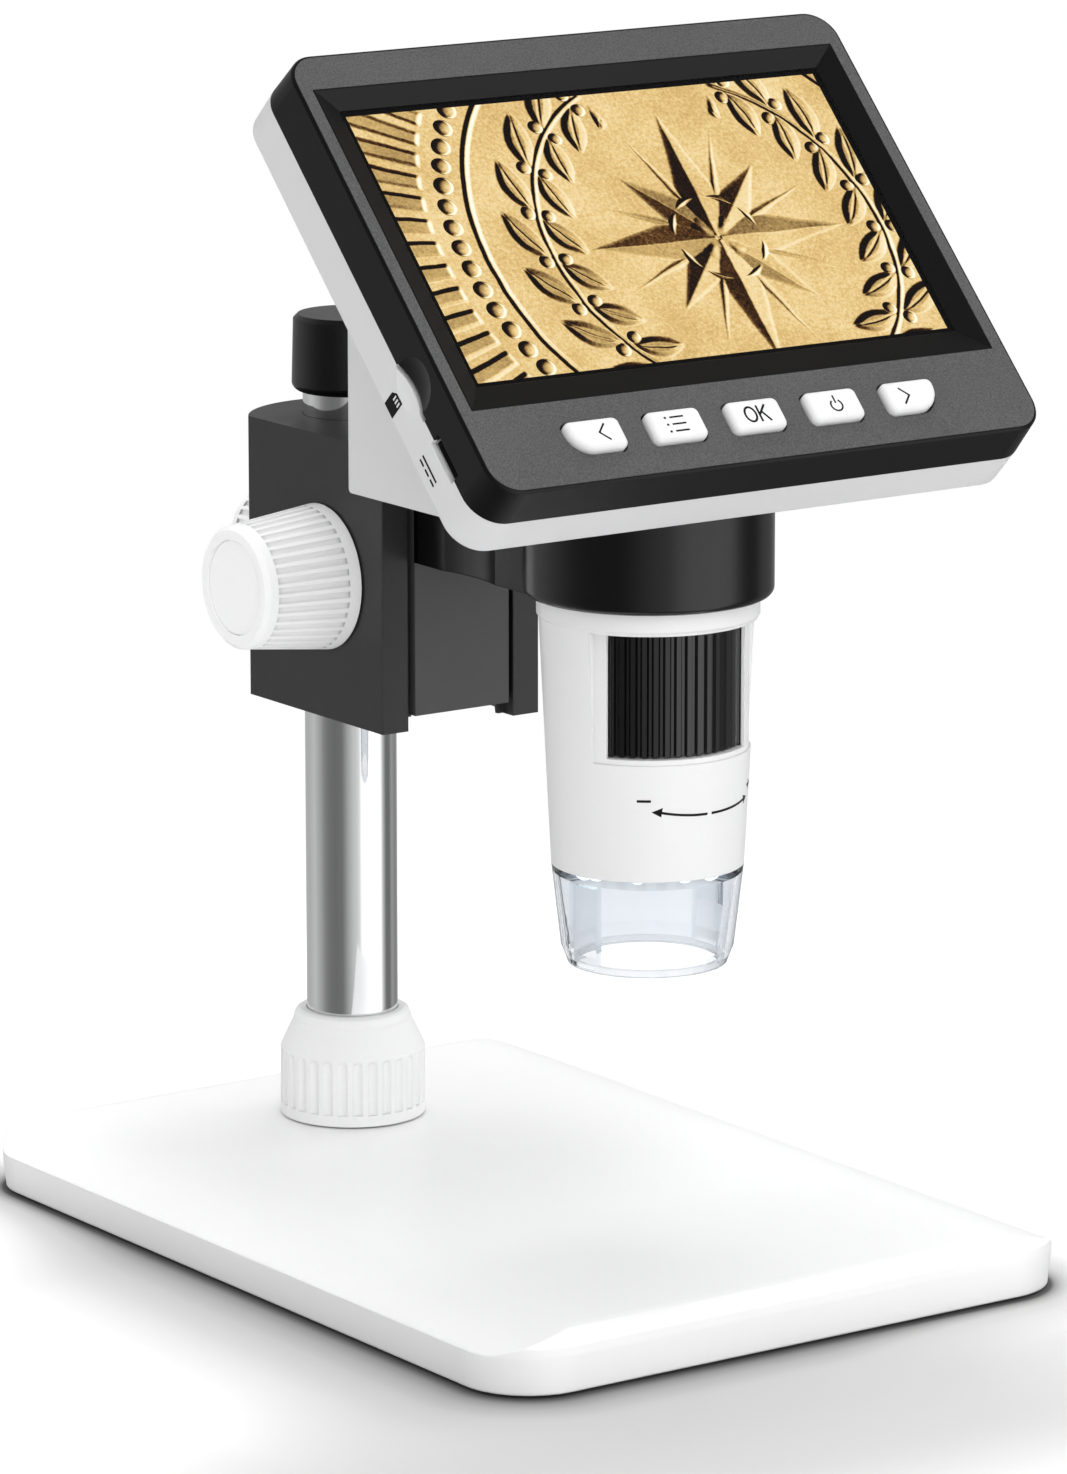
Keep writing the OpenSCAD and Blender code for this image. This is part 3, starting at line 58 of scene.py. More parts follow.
class Num:
    """A number in a node tree, so that a formula can be written as one."""

    def __init__(self, tree, socket):
        self.tree, self.socket = tree, socket

    def to(self, socket):
        self.tree.links.new(self.socket, socket)

    def _math(self, kind, *values):
        node = self.tree.nodes.new("ShaderNodeMath")
        node.operation = kind
        for socket, value in zip(node.inputs, values):
            if isinstance(value, Num):
                value.to(socket)
            else:
                socket.default_value = value
        return Num(self.tree, node.outputs[0])

    def __add__(self, other):
        return self._math("ADD", self, other)

    def __sub__(self, other):
        return self._math("SUBTRACT", self, other)

    def __rsub__(self, other):
        return self._math("SUBTRACT", other, self)

    def __mul__(self, other):
        return self._math("MULTIPLY", self, other)

    def __truediv__(self, other):
        return self._math("DIVIDE", self, other)

    def __abs__(self):
        return self._math("ABSOLUTE", self)

    def top(self, other):
        """The greater of the two."""
        return self._math("MAXIMUM", self, other)

    def low(self, other):
        """The lesser of the two."""
        return self._math("MINIMUM", self, other)

    def wrap(self, period):
        """This number folded into -period/2 ... period/2."""
        return self._math("WRAP", self, period / 2, -period / 2)

    def wrap_up(self):
        """This number folded into 0 ... 1."""
        return self._math("WRAP", self, 1.0, 0.0)

    def root(self):
        return self._math("SQRT", self.top(0.0))

    def cos(self):
        return self._math("COSINE", self)

    def sin(self):
        return self._math("SINE", self)

    def over(self, other):
        """The angle whose tangent is this number over the other."""
        return self._math("ARCTAN2", self, other)

    def step(self, low, high):
        """0 below low, 1 above high, and smooth between."""
        node = self.tree.nodes.new("ShaderNodeMapRange")
        node.interpolation_type = "SMOOTHSTEP"
        self.to(node.inputs["Value"])
        preset(node, {"From Min": low, "From Max": high})
        return Num(self.tree, node.outputs["Result"])


def highest(first, *others):
    """The greatest of several numbers."""
    for other in others:
        first = first.top(other)
    return first


def preset(node, values):
    """Sets a node's own sockets."""
    for name, value in values.items():
        node.inputs[name].default_value = value


def object_point(tree):
    """The object's own coordinates, in metres."""
    return tree.nodes.new("ShaderNodeTexCoord").outputs["Object"]


def axes(tree, point):
    """A point's X, Y and Z."""
    split = tree.nodes.new("ShaderNodeSeparateXYZ")
    tree.links.new(point, split.inputs[0])
    return [Num(tree, split.outputs[axis]) for axis in "XYZ"]


def noise(tree, point, scale, detail=3.0, rough=0.55):
    node = tree.nodes.new("ShaderNodeTexNoise")
    tree.links.new(point, node.inputs["Vector"])
    preset(node, {"Scale": scale, "Detail": detail, "Roughness": rough})
    return Num(tree, node.outputs["Fac"])


def ramp(tree, value, stops):
    """A colour for each value: stops are (value, colour)."""
    node = tree.nodes.new("ShaderNodeValToRGB")
    while len(node.color_ramp.elements) < len(stops):
        node.color_ramp.elements.new(0.5)
    for element, (place, colour) in zip(node.color_ramp.elements, stops):
        element.position = place
        element.color = (*colour, 1)
    value.to(node.inputs["Fac"])
    return node.outputs["Color"]


def greys(stops, scale=1.0):
    """Stops of a ramp from pairs of a value and a brightness."""
    return [(place / scale, (bright,) * 3) for place, bright in stops]


def blend(tree, factor, first, second, kind="MIX"):
    """Two colours mixed. Each value is a number, a Num, a plain colour or a socket."""
    node = tree.nodes.new("ShaderNodeMix")
    node.data_type = "RGBA"
    node.blend_type = kind
    for name, value in (("Factor", factor), ("A", first), ("B", second)):
        if isinstance(value, Num):
            value.to(node.inputs[name])
        elif isinstance(value, bpy.types.NodeSocket):
            tree.links.new(value, node.inputs[name])
        else:
            node.inputs[name].default_value = value
    return node.outputs["Result"]


def mix_shaders(tree, factor, first, second):
    node = tree.nodes.new("ShaderNodeMixShader")
    for value, socket in zip((factor, first, second), node.inputs):
        tree.links.new(value, socket)
    return node.outputs["Shader"]


def blank(name):
    """A new material, its node tree and its shader."""
    mat = bpy.data.materials.new(name)
    mat.use_nodes = True
    return mat, mat.node_tree, mat.node_tree.nodes["Principled BSDF"]


def show(tree, shader, kind="Surface"):
    """Makes this shader the material's."""
    tree.links.new(shader, tree.nodes["Material Output"].inputs[kind])


# --- Materials -------------------------------------------------------------------------------

def shades(colour, spread):
    """The colour a little darker and a little lighter."""
    return (tuple(c * (1 - spread) for c in colour),
            tuple(min(1.0, c * (1 + spread)) for c in colour))


def painted_groove_shade(tree, colour, reach, depth):
    """Painted shade: the colour, darker by depth in grooves narrower than reach, found by ambient
    occlusion.
    """
    shade = tree.nodes.new("ShaderNodeAmbientOcclusion")
    shade.samples = 6
    shade.only_local = True
    shade.inputs["Distance"].default_value = reach
    open_part = Num(tree, shade.outputs["AO"]).top(0.55).step(0.5, 0.92)
    return blend(tree, 1.0, colour, ramp(tree, open_part, greys([(0, 1 - depth), (1, 1)])),
                 "MULTIPLY")


def stretched(tree, point, scale):
    mapping = tree.nodes.new("ShaderNodeMapping")
    mapping.inputs["Scale"].default_value = scale
    tree.links.new(point, mapping.inputs["Vector"])
    return mapping.outputs["Vector"]


def soft_edges(tree, radius):
    """The surface's direction, turning smoothly over the edges."""
    bevel = tree.nodes.new("ShaderNodeBevel")
    bevel.samples = 6
    bevel.inputs["Radius"].default_value = radius
    return bevel.outputs["Normal"]


def worn_edges(tree, rounded, fine):
    """1 where an edge is rubbed, broken up by the grain."""
    geometry = tree.nodes.new("ShaderNodeNewGeometry")
    dot = tree.nodes.new("ShaderNodeVectorMath")
    dot.operation = "DOT_PRODUCT"
    tree.links.new(rounded, dot.inputs[0])
    tree.links.new(geometry.outputs["Normal"], dot.inputs[1])
    return (1 - Num(tree, dot.outputs["Value"])).step(0.01, 0.22) * fine.step(0.35, 0.6)


def add_bump(tree, bsdf, height, depth, rounded=None):
    relief = tree.nodes.new("ShaderNodeBump")
    relief.inputs["Distance"].default_value = depth
    height.to(relief.inputs["Height"])
    if rounded:
        tree.links.new(rounded, relief.inputs["Normal"])
    tree.links.new(relief.outputs["Normal"], bsdf.inputs["Normal"])


def surface(name, colour, rough, metal=0.0, tone=0.04, tone_scale=45, grain=900, bump=0.00001,
            smear=0.06, coat=0.0, round_edge=0.0, edge_tone=None, shine=0.5, stretch=None,
            speckle=None, crevice_shade=None):
    """A moulded, painted, cut or plated surface: mottled tone, grain, smears and soft edges."""
    mat, tree, bsdf = blank(name)
    point = object_point(tree)
    cloud = noise(tree, point, tone_scale)
    fine = noise(tree, stretched(tree, point, stretch) if stretch else point, grain, 4.0, 0.6)
    mottle = cloud * 0.6 + fine * 0.4
    if speckle:
        mottle = cloud * (1 - speckle) + (fine - 0.5) * 2.2 * speckle + 0.5 * speckle
    dark, light = shades(colour, tone)
    painted = ramp(tree, mottle, [(0.32, dark), (0.68, light)])
    rounded = soft_edges(tree, round_edge) if round_edge else None
    if edge_tone:
        painted = blend(tree, worn_edges(tree, rounded, fine), painted, (*edge_tone, 1))
    # Painted shade in grooves
    if crevice_shade:
        painted = painted_groove_shade(tree, painted, *crevice_shade)
    tree.links.new(painted, bsdf.inputs["Base Color"])
    preset(bsdf, {"Metallic": metal, "Specular IOR Level": shine, "Coat Weight": coat,
                  "Coat Roughness": 0.08})
    smudge = noise(tree, point, 130, 5.0, 0.65)
    ((smudge - 0.5) * (2 * smear) + rough).to(bsdf.inputs["Roughness"])
    add_bump(tree, bsdf, fine, bump, rounded)
    return mat


# What the hood's plastic takes from light on long ways through it: colour, and density
SMOKE = ((0.5, 0.525, 0.56, 1), 150)


def clear(name, tint, rough, ior, smoke=None, coat=0.0):
    """Clear plastic or glass with faint flow marks, smoky on long ways through it."""
    mat, tree, bsdf = blank(name)
    streak = noise(tree, object_point(tree), 260)
    preset(bsdf, {"Base Color": (*tint, 1), "Transmission Weight": 1.0, "IOR": ior,
                  "Coat Weight": coat})
    ((streak - 0.5) * 0.03 + rough).top(0.0).to(bsdf.inputs["Roughness"])
    if smoke:
        soak = tree.nodes.new("ShaderNodeVolumeAbsorption")
        preset(soak, {"Color": smoke[0], "Density": smoke[1]})
        show(tree, soak.outputs["Volume"], "Volume")
    add_bump(tree, bsdf, streak, 0.0000008)
    return mat


def glowing(name, colour, strength):
    """A lamp's lens: pale resin that shines."""
    mat, tree, bsdf = blank(name)
    dark, light = shades(colour, 0.05)
    resin = ramp(tree, noise(tree, object_point(tree), 700, 2.0), [(0.3, dark), (0.7, light)])
    tree.links.new(resin, bsdf.inputs["Base Color"])
    tree.links.new(resin, bsdf.inputs["Emission Color"])
    preset(bsdf, {"Emission Strength": strength, "Roughness": 0.25})
    return mat


# Every opaque finish: its colour and roughness, and what differs from a plain surface
FINISHES = {
    # The white parts are set lighter or darker one by one as painted light and shade: shell
    # darkest, knob lightest
    "shell_white": ((0.64, 0.64, 0.645), 0.38, {
        "tone": 0.012, "grain": 1400, "bump": 0.000004, "smear": 0.03, "round_edge": 0.0003,
        "shine": 0.35}),
    "barrel_white_painted_light": ((0.74, 0.74, 0.743), 0.36, {
        "tone": 0.012, "grain": 1400, "bump": 0.000003, "smear": 0.03, "round_edge": 0.0003,
        "shine": 0.4}),
    "base_white": ((0.89, 0.89, 0.893), 0.36, {
        "tone": 0.01, "grain": 1100, "bump": 0.000002, "smear": 0.03, "round_edge": 0.0006,
        "shine": 0.9}),
    # The knob's grooves get painted shade
    "knob_white": ((0.92, 0.92, 0.923), 0.36, {
        "tone": 0.008, "grain": 1300, "bump": 0.000003, "smear": 0.03, "round_edge": 0.0002,
        "crevice_shade": (0.0011, 0.45)}),
    "collar_white_painted_light": ((0.82, 0.82, 0.823), 0.36, {
        "tone": 0.012, "grain": 1300, "bump": 0.000003, "smear": 0.03, "round_edge": 0.0003}),
    "key_white": ((0.72, 0.72, 0.723), 0.34, {
        "tone": 0.01, "grain": 1500, "bump": 0.000002, "smear": 0.02, "round_edge": 0.0002,
        "coat": 0.2}),
    "chrome": ((0.9, 0.905, 0.91), 0.05, {
        "metal": 1.0, "tone": 0.02, "grain": 700, "bump": 0.000001, "smear": 0.02,
        "stretch": (1, 1, 0.05)}),
    "bracket_black": ((0.022, 0.022, 0.022), 0.42, {
        "tone": 0.1, "grain": 1800, "round_edge": 0.0004, "edge_tone": (0.05, 0.05, 0.05),
        "shine": 0.4}),
    "slider_black": ((0.06, 0.06, 0.06), 0.5, {
        "tone": 0.08, "grain": 1600, "bump": 0.000008, "round_edge": 0.0003}),
    "ring_black": ((0.0012, 0.0012, 0.0012), 0.2, {
        "tone": 0.15, "grain": 1500, "bump": 0.000003, "smear": 0.02, "round_edge": 0.0004}),
    "cap_black": ((0.0015, 0.0015, 0.0015), 0.34, {
        "tone": 0.15, "grain": 1600, "bump": 0.000005, "smear": 0.03, "round_edge": 0.0003}),
    "bezel_black": ((0.003, 0.003, 0.003), 0.36, {
        "tone": 0.1, "grain": 1900, "bump": 0.000006, "round_edge": 0.0002, "shine": 0.25}),
    "face_grey": ((0.076, 0.076, 0.077), 0.55, {
        "tone": 0.26, "grain": 3600, "bump": 0.00003, "speckle": 0.75, "shine": 0.3}),
    "wheel_black": ((0.0012, 0.0012, 0.0012), 0.22, {
        "tone": 0.15, "grain": 1500, "bump": 0.000004, "smear": 0.02, "shine": 0.7}),
    "mark_black": ((0.002, 0.002, 0.002), 0.5, {"tone": 0.2, "grain": 2500, "shine": 0.2}),
    "plate_black": ((0.02, 0.02, 0.021), 0.5, {"tone": 0.12, "grain": 1500, "bump": 0.00002}),
    "inner_black": ((0.008, 0.008, 0.009), 0.5, {"tone": 0.12, "grain": 1500}),
    "board_green": ((0.012, 0.09, 0.035), 0.35, {"tone": 0.3, "tone_scale": 500, "coat": 0.5}),
    "board_white": ((0.8, 0.82, 0.84), 0.4, {"tone": 0.05, "grain": 1200}),
    "screw_steel": ((0.5, 0.5, 0.51), 0.3, {"metal": 1.0, "tone": 0.1, "grain": 1500}),
    "ballast_steel": ((0.3, 0.3, 0.31), 0.45, {"metal": 1.0, "tone": 0.15, "grain": 600}),
    "brass": ((0.62, 0.44, 0.16), 0.28, {"metal": 1.0, "tone": 0.1, "grain": 1200}),
    "rubber": ((0.02, 0.02, 0.02), 0.7, {"tone": 0.15, "grain": 1200, "bump": 0.00003}),
    "felt": ((0.015, 0.015, 0.016), 0.95, {"tone": 0.4, "grain": 3000, "bump": 0.00008}),
    "cell_blue": ((0.02, 0.08, 0.3), 0.35, {"tone": 0.08}),
    "flex_amber": ((0.45, 0.2, 0.02), 0.35, {"tone": 0.12}),
}

# Nodes whose finish differs from the others of their slot: barrel and collar in brightness, as
# painted light
OWN_FINISH = {"slider_plate": "slider_black", "barrel_shell": "barrel_white_painted_light",
              "collar_nut": "collar_white_painted_light", "led_board": "board_white"}


def finish_nodes():
    """Gives each CAD node its finish, and returns the finishes by name."""
    made = {name: surface(name, colour, rough, **rest)
            for name, (colour, rough, rest) in FINISHES.items()}
    made["cover_glass"] = clear("cover_glass", (0.99, 0.995, 1.0), 0.01, 1.25)
    made["clear_plastic"] = clear("clear_plastic", (0.915, 0.935, 0.955), 0.02, 1.12, SMOKE, 0.5)
    made["lens_glass"] = clear("lens_glass", (0.93, 0.98, 1.0), 0.0, 1.52)
    made["led_white"] = glowing("led_white", (0.8, 0.9, 1.0), 1.7)
    made["lcd"] = made["inner_black"]
    for name, obj in NODES.items():
        for slot in obj.material_slots:
            slot.material = made[OWN_FINISH.get(name) or slot.material.name.split(".")[0]]
    return made


# --- The picture on the display ----------------------------------------------------------------

# Its layout, in millimetres on the display. The star's points are given by their number, the
# first one's direction in degrees, their length, half width and height
STAR_AT = (12.0, -4.0)
STAR_POINTS = ((4, 0, 26.0, 6.4, 0.7), (4, 45, 19.5, 6.0, 0.7), (8, 22.5, 24.0, 1.5, 0.8))
BOSS_RADIUS, BOSS_RING, BOSS_PETALS = 6.4, 8.4, 8
WREATH_RADIUS = 33.5
WREATH_CELL = math.radians(16.0)
LEAF_TURN, LEAF_OUT = 36, 3.7
LEAF_HALF_L, LEAF_HALF_W, LEAF_RIB = 5.6, 2.35, 0.34
BERRY_OUT, BERRY_AREA = 1.9, 1.5         # distance from the stem, and radius squared
RING_RADIUS, BEAD_RADIUS, BAR_RADIUS = 46.0, 50.2, 58.0
BEAD_CELL = math.radians(4.8)
BEAD_AREA = 2.6                          # radius squared
BAR_HALF_W, BARS_FROM = 1.7, (54.0, 54.9)

# The gold, from deep shade to glint
GOLD = ((0.0, (0.003, 0.001, 0.0)), (0.14, (0.012, 0.004, 0.001)), (0.26, (0.09, 0.034, 0.006)),
        (0.47, (0.47, 0.31, 0.11)), (0.61, (0.73, 0.5, 0.19)), (0.69, (0.85, 0.65, 0.32)),
        (0.78, (0.9, 0.73, 0.42)), (1.0, (1.0, 0.94, 0.76)))


def spikes(r, angle, count, offset, length, width):
    """Straight-sided points round a centre: count of them, the first at offset degrees."""
    fold = abs((angle + math.radians(offset)).wrap(2 * math.pi / count))
    along, across = r * fold.cos(), r * fold.sin()
    return ((1 - along / length) * width - across).top(0.0) * along.step(0.0, 0.5)


def leaf(along, across, turn, place):
    """One leaf with a rib, turned by turn degrees and moved sideways by place."""
    c, s = math.cos(math.radians(turn)), math.sin(math.radians(turn))
    side = across - place
    x = along * c + side * s
    y = abs(side * c - along * s)
    edge = (1 - (x / LEAF_HALF_L) * (x / LEAF_HALF_L)) * LEAF_HALF_W
    blade = (edge - y).top(0.0)
    rib = (LEAF_RIB - y).top(0.0) * blade.step(0.0, 0.5)
    return blade.low(LEAF_HALF_W * 0.55) * 1.1 - rib * 1.4


def star(r, angle):
    """A compass star of broad and thin points, with a boss and a ring at its middle."""
    points = [spikes(r, angle, *shape) * height for *shape, height in STAR_POINTS]
    boss = (1 - (r / BOSS_RADIUS) * (r / BOSS_RADIUS)).top(0.0).root() * 4.0
    petals = (angle * BOSS_PETALS).cos() * 0.45 * r.step(1.5, 3.5)
    ring = (0.9 - abs(r - BOSS_RING)).top(0.0) * 2.4
    return highest(*points, boss + petals * boss.step(0.3, 1.0), ring)


def wreath(x, y, r):
    """Two sprigs of leaves and berries, open below and above."""
    turn = abs(x).over(y * -1)
    local = turn.wrap(WREATH_CELL) * WREATH_RADIUS
    out = r - WREATH_RADIUS
    outer = leaf(local, out, LEAF_TURN, LEAF_OUT)
    inner = leaf(local * -1, out, 180 - LEAF_TURN, -LEAF_OUT)
    stem = (0.62 - abs(out)).top(0.0) * 1.8
    berry_x = abs(local) - WREATH_RADIUS * WREATH_CELL / 2
    berry_y = abs(out) - BERRY_OUT
    berries = (1 - (berry_x * berry_x + berry_y * berry_y) / BERRY_AREA).top(0.0).root() * 1.5
    sprigs = highest(outer, inner, stem, berries)
    return sprigs * turn.step(0.1, 0.2) * (1 - turn.step(2.7, 2.75))


def rim(r, angle):
    """A raised ring, a ring of beads, and bars outside it."""
    ring = (0.8 - abs(r - RING_RADIUS)).top(0.0) * 2.0
    across = angle.wrap(BEAD_CELL) * BEAD_RADIUS
    out = r - BEAD_RADIUS
    beads = (1 - (across * across + out * out) / BEAD_AREA).top(0.0).root() * 1.8
    bar = angle.wrap(BEAD_CELL) * BAR_RADIUS
    bars = (BAR_HALF_W - abs(bar)).top(0.0).low(0.8) * r.step(*BARS_FROM) * 1.8
    return highest(ring, beads, bars)


def relief_group():
    """Height of the struck metal at a point of the picture, in millimetres."""
    tree = bpy.data.node_groups.new("struck_relief", "ShaderNodeTree")
    for name, way in (("U", "INPUT"), ("V", "INPUT"), ("H", "OUTPUT")):
        tree.interface.new_socket(name, in_out=way, socket_type="NodeSocketFloat")
    given, made = tree.nodes.new("NodeGroupInput"), tree.nodes.new("NodeGroupOutput")
    x = Num(tree, given.outputs["U"]) - STAR_AT[0]
    y = Num(tree, given.outputs["V"]) - STAR_AT[1]
    r = (x * x + y * y).root()
    angle = x.over(y)
    highest(star(r, angle), wreath(x, y, r), rim(r, angle)).to(made.inputs["H"])
    return tree


def relief_tone(tree, point, u, v):
    """How light the relief is under a raking lamp, with its sandy ground."""
    group = relief_group()
    warp = (noise(tree, point, 120) - 0.5) * 0.9
    reach = 0.2

    def height(du, dv):
        node = tree.nodes.new("ShaderNodeGroup")
        node.node_tree = group
        (u + warp + du).to(node.inputs["U"])
        (v + warp + dv).to(node.inputs["V"])
        return Num(tree, node.outputs["H"])

    lit = height(reach, -reach / 2) - height(-reach, reach / 2)
    cross = height(reach / 2, reach) - height(-reach / 2, -reach)
    steep = (lit * lit + cross * cross).root().step(0.1, 0.7)
    raised = height(0.0, 0.0).step(0.1, 0.6)
    sand = noise(tree, point, 1500, 5.0, 0.85) - 0.5
    cloud = noise(tree, point, 60, 4.0, 0.6) - 0.5
    return lit * -0.95 + 0.64 + sand * 0.62 + cloud * 0.34 - steep * 0.28 - raised * 0.14


def picture():
    """A gold relief under raking light, as the display shows it, inside a black border."""
    mat, tree, bsdf = blank("display_picture")
    point = object_point(tree)
    x, y, _ = axes(tree, point)
    u, v = x * 1000, y * 1000
    gold = ramp(tree, relief_tone(tree, point, u, v), GOLD)
    inside = ((ACTIVE[0] / 2 - abs(u)).low(ACTIVE[1] / 2 - abs(v))).step(-0.02, 0.02)
    tree.links.new(blend(tree, inside, (0, 0, 0, 1), gold), bsdf.inputs["Emission Color"])
    preset(bsdf, {"Emission Strength": 1.08, "Base Color": (0.002, 0.002, 0.003, 1),
                  "Specular IOR Level": 0.05, "Roughness": 0.4})
    return mat


# --- Mesh helpers ----------------------------------------------------------------------------

def add_mesh(name, build, matrix=Matrix.Identity(4), smooth=False):
    mesh = bpy.data.meshes.new(name)
    bm = bmesh.new()
    build(bm)
    bmesh.ops.recalc_face_normals(bm, faces=bm.faces)
    bm.to_mesh(mesh)
    bm.free()
    obj = bpy.data.objects.new(name, mesh)
    bpy.context.scene.collection.objects.link(obj)
    obj.matrix_world = matrix
    if smooth:
        mesh.shade_smooth()
    return obj


def dress(obj, material, body):
    """Makes a piece ride on its body, in its material."""
    obj.data.materials.append(material)
    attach(obj, body)


def in_metres(x, y, z):
    return (x * MM, y * MM, z * MM)


def cut_rectangle(w, h, cut):
    """A rectangle round the middle, with its corners cut off."""
    x, y = w / 2, h / 2
    return [(x, y - cut), (x - cut, y), (cut - x, y), (-x, y - cut),
            (-x, cut - y), (cut - x, -y), (x - cut, -y), (x, cut - y)]


def prism(bm, outline, low, high, place=in_metres):
    """A closed solid on an outline, in millimetres, put in place by the given function."""
    rings = [[bm.verts.new(place(x, y, z)) for x, y in outline] for z in (low, high)]
    bm.faces.new(reversed(rings[0]))
    bm.faces.new(rings[1])
    n = len(outline)
    for i in range(n):
        j = (i + 1) % n
        bm.faces.new((rings[0][i], rings[0][j], rings[1][j], rings[1][i]))


def stroke(points, width, closed):
    """Corners of a ribbon of even width along points, as pairs left and right of the line."""
    n = len(points)
    pairs = []
    for i, (x, y) in enumerate(points):
        before = points[i - 1] if i or closed else points[i]
        after = points[(i + 1) % n] if i < n - 1 or closed else points[i]
        ways = []
        for (ax, ay), (bx, by) in ((before, (x, y)), ((x, y), after)):
            length = math.hypot(bx - ax, by - ay)
            if length > 1e-9:
                ways.append(((bx - ax) / length, (by - ay) / length))
        tx, ty = (sum(w[k] for w in ways) for k in (0, 1))
        size = math.hypot(tx, ty)
        tx, ty = tx / size, ty / size
        bend = max(0.4, abs(tx * ways[0][0] + ty * ways[0][1]))
        half = width / 2 / bend
        pairs.append(((x - ty * half, y + tx * half), (x + ty * half, y - tx * half)))
    return pairs


def ribbon(bm, points, width, place, base=0.0, high=INK, closed=False):
    """A thin raised line along points, on a face at the height base."""
    low, high = base - INK, base + high
    rows = [[bm.verts.new(place(x, y, z)) for (x, y), z in
             ((left, low), (right, low), (right, high), (left, high))]
            for left, right in stroke(points, width, closed)]
    count = len(rows)
    for i in range(count if closed else count - 1):
        a, b = rows[i], rows[(i + 1) % count]
        for k in range(4):
            bm.faces.new((a[k], a[(k + 1) % 4], b[(k + 1) % 4], b[k]))
    if not closed:
        bm.faces.new(reversed(rows[0]))
        bm.faces.new(rows[-1])


def arc(cx, cy, rx, ry, start, end, steps):
    return [(cx + rx * math.cos(math.radians(start + (end - start) * i / steps)),
             cy + ry * math.sin(math.radians(start + (end - start) * i / steps)))
            for i in range(steps + 1)]


# --- The display's layer and the signs ---------------------------------------------------------

def add_display():
    """The display's picture layer, laminated inside the cover glass."""
    def build(bm):
        w, h = (side + 2 * LAYER_BORDER for side in ACTIVE)
        prism(bm, cut_rectangle(w, h, LAYER_CUT), *LAYER)
    dress(add_mesh("display_picture", build, HEAD), picture(), "microscope")


def key_marks():
    """Each button's sign: its middle from the button's, and its lines as points and width. A line
    whose first and last points nearly meet is closed by a third value."""
    thin, line = 0.31, 0.38
    rows = [([(-1.0, y), (1.7, y)], thin) for y in (1.35, 0.0, -1.35)]
    dots = [([(-2.1, y), (-1.7, y)], line) for y in (1.35, 0.0, -1.35)]
    letters = [(arc(-1.35, 0, 1.05, 1.42, 0, 348, 30), line, True),
               ([(0.35, 1.6), (0.35, -1.6)], line),
               ([(2.05, 1.6), (0.45, -0.15)], line),
               ([(0.95, 0.35), (2.15, -1.6)], line)]
    power = [(arc(0, -0.2, 1.1, 1.1, 125, 415, 26), thin),
             ([(0, 1.75), (0, 0.2)], thin)]
    return {
        "button_left": ((1.1, 0.0), [([(0.8, 1.6), (-0.75, 0.0), (0.8, -1.6)], thin)]),
        "button_menu": ((-0.2, -0.17), rows + dots),
        "button_ok": ((-0.1, -0.15), letters),
        "button_power": ((0.0, -0.2), power),
        "button_right": ((-1.6, -0.2), [([(-0.8, 1.6), (0.75, 0.0), (-0.8, -1.6)], thin)]),
    }


def add_key_marks(ink):
    for i, (node, (shift, lines)) in enumerate(key_marks().items()):
        at = (KEY_SHIFT + (i - 2) * KEY_PITCH + shift[0], KEY_V + shift[1])

        def place(x, y, z, at=at):
            return in_metres(x + at[0], y + at[1], z)

        def build(bm, lines=lines, place=place):
            for points, width, *closed in lines:
                ribbon(bm, points, width, place, KEY_TOP, closed=bool(closed))
        dress(add_mesh(node + "_mark", build, HEAD), ink, node.replace("button", "key"))


def barrel_radius(z):
    """The barrel's own taper, in millimetres."""
    return CONE_LOW_D / 2 + (CONE_HIGH_D - CONE_LOW_D) / 2 * (z - CONE_FOOT) / CONE_RISE


def barrel_place(degrees, z, lift):
    """A point on the barrel's cone, by its angle from the front."""
    r = barrel_radius(z) + lift
    a = math.radians(degrees)
    return in_metres(r * math.sin(a), BARREL_Y - r * math.cos(a), z)


def barrel_ribbon(bm, points, width):
    """A line on the barrel: points are (degrees, height)."""
    scale = math.radians(1) * barrel_radius(SIGN_Z)
    ribbon(bm, [(a * scale, z) for a, z in points], width,
           lambda x, y, z: barrel_place(x / scale, y, z))


def add_barrel_marks(ink):
    """Minus, plus and the two arrows, bent round the barrel's cone."""
    def bow(start, end, low, high):
        return [(start + (end - start) * i / 14, low + (high - low) * (i / 14) ** 2)
                for i in range(15)]

    def bar(start, z):
        return [(start + k, z) for k in (0, 2, 4, 6, 8)]

    def build(bm):
        for points in (bow(0.2, -28.3, 85.2, 86.02), bow(3.2, 35.2, 85.2, 85.88),
                       bar(-42.2, 88.0), bar(41.4, 87.9), [(45.4, 87.1), (45.4, 88.7)]):
            barrel_ribbon(bm, points, 0.42)
        for head in ([(-27.4, 86.86), (-33.9, 86.14), (-28.3, 85.24), (-28.0, 86.02)],
                     [(34.0, 86.6), (40.4, 86.12), (35.4, 85.1), (35.0, 85.86)]):
            prism(bm, head, -INK, INK, barrel_place)
    dress(add_mesh("barrel_marks", build), ink, "microscope")


def side_place(v, n, lift):
    """A point on the head's left wall."""
    return HEAD @ Vector(in_metres(-WALL_U - lift, v, n))


def add_side_marks(ink, white):
    """The card pictogram and the direct-current symbol on the head's left wall."""
    def signs(bm):
        card = [(-20.2, -13.5), (-23.3, -13.5), (-23.3, -9.5), (-21.2, -9.5), (-20.2, -10.5)]
        prism(bm, card, -INK, INK, side_place)
        v, n = -35.4, -11.1
        dashes = [[(v + k * 2.0 - 0.7, n - 0.55), (v + k * 2.0 + 0.7, n - 0.55)]
                  for k in (-1, 0, 1)]
        for points in [[(v - 2.7, n + 0.5), (v + 2.7, n + 0.5)]] + dashes:
            ribbon(bm, points, 0.42, side_place)

    def contacts(bm):
        for v in (-21.35, -22.05, -22.75):
            ribbon(bm, [(v, -11.1), (v, -10.0)], 0.34, side_place, high=2 * INK)
    dress(add_mesh("side_marks", signs), ink, "microscope")
    dress(add_mesh("card_contacts", contacts), white, "microscope")


# --- Camera ----------------------------------------------------------------------------------

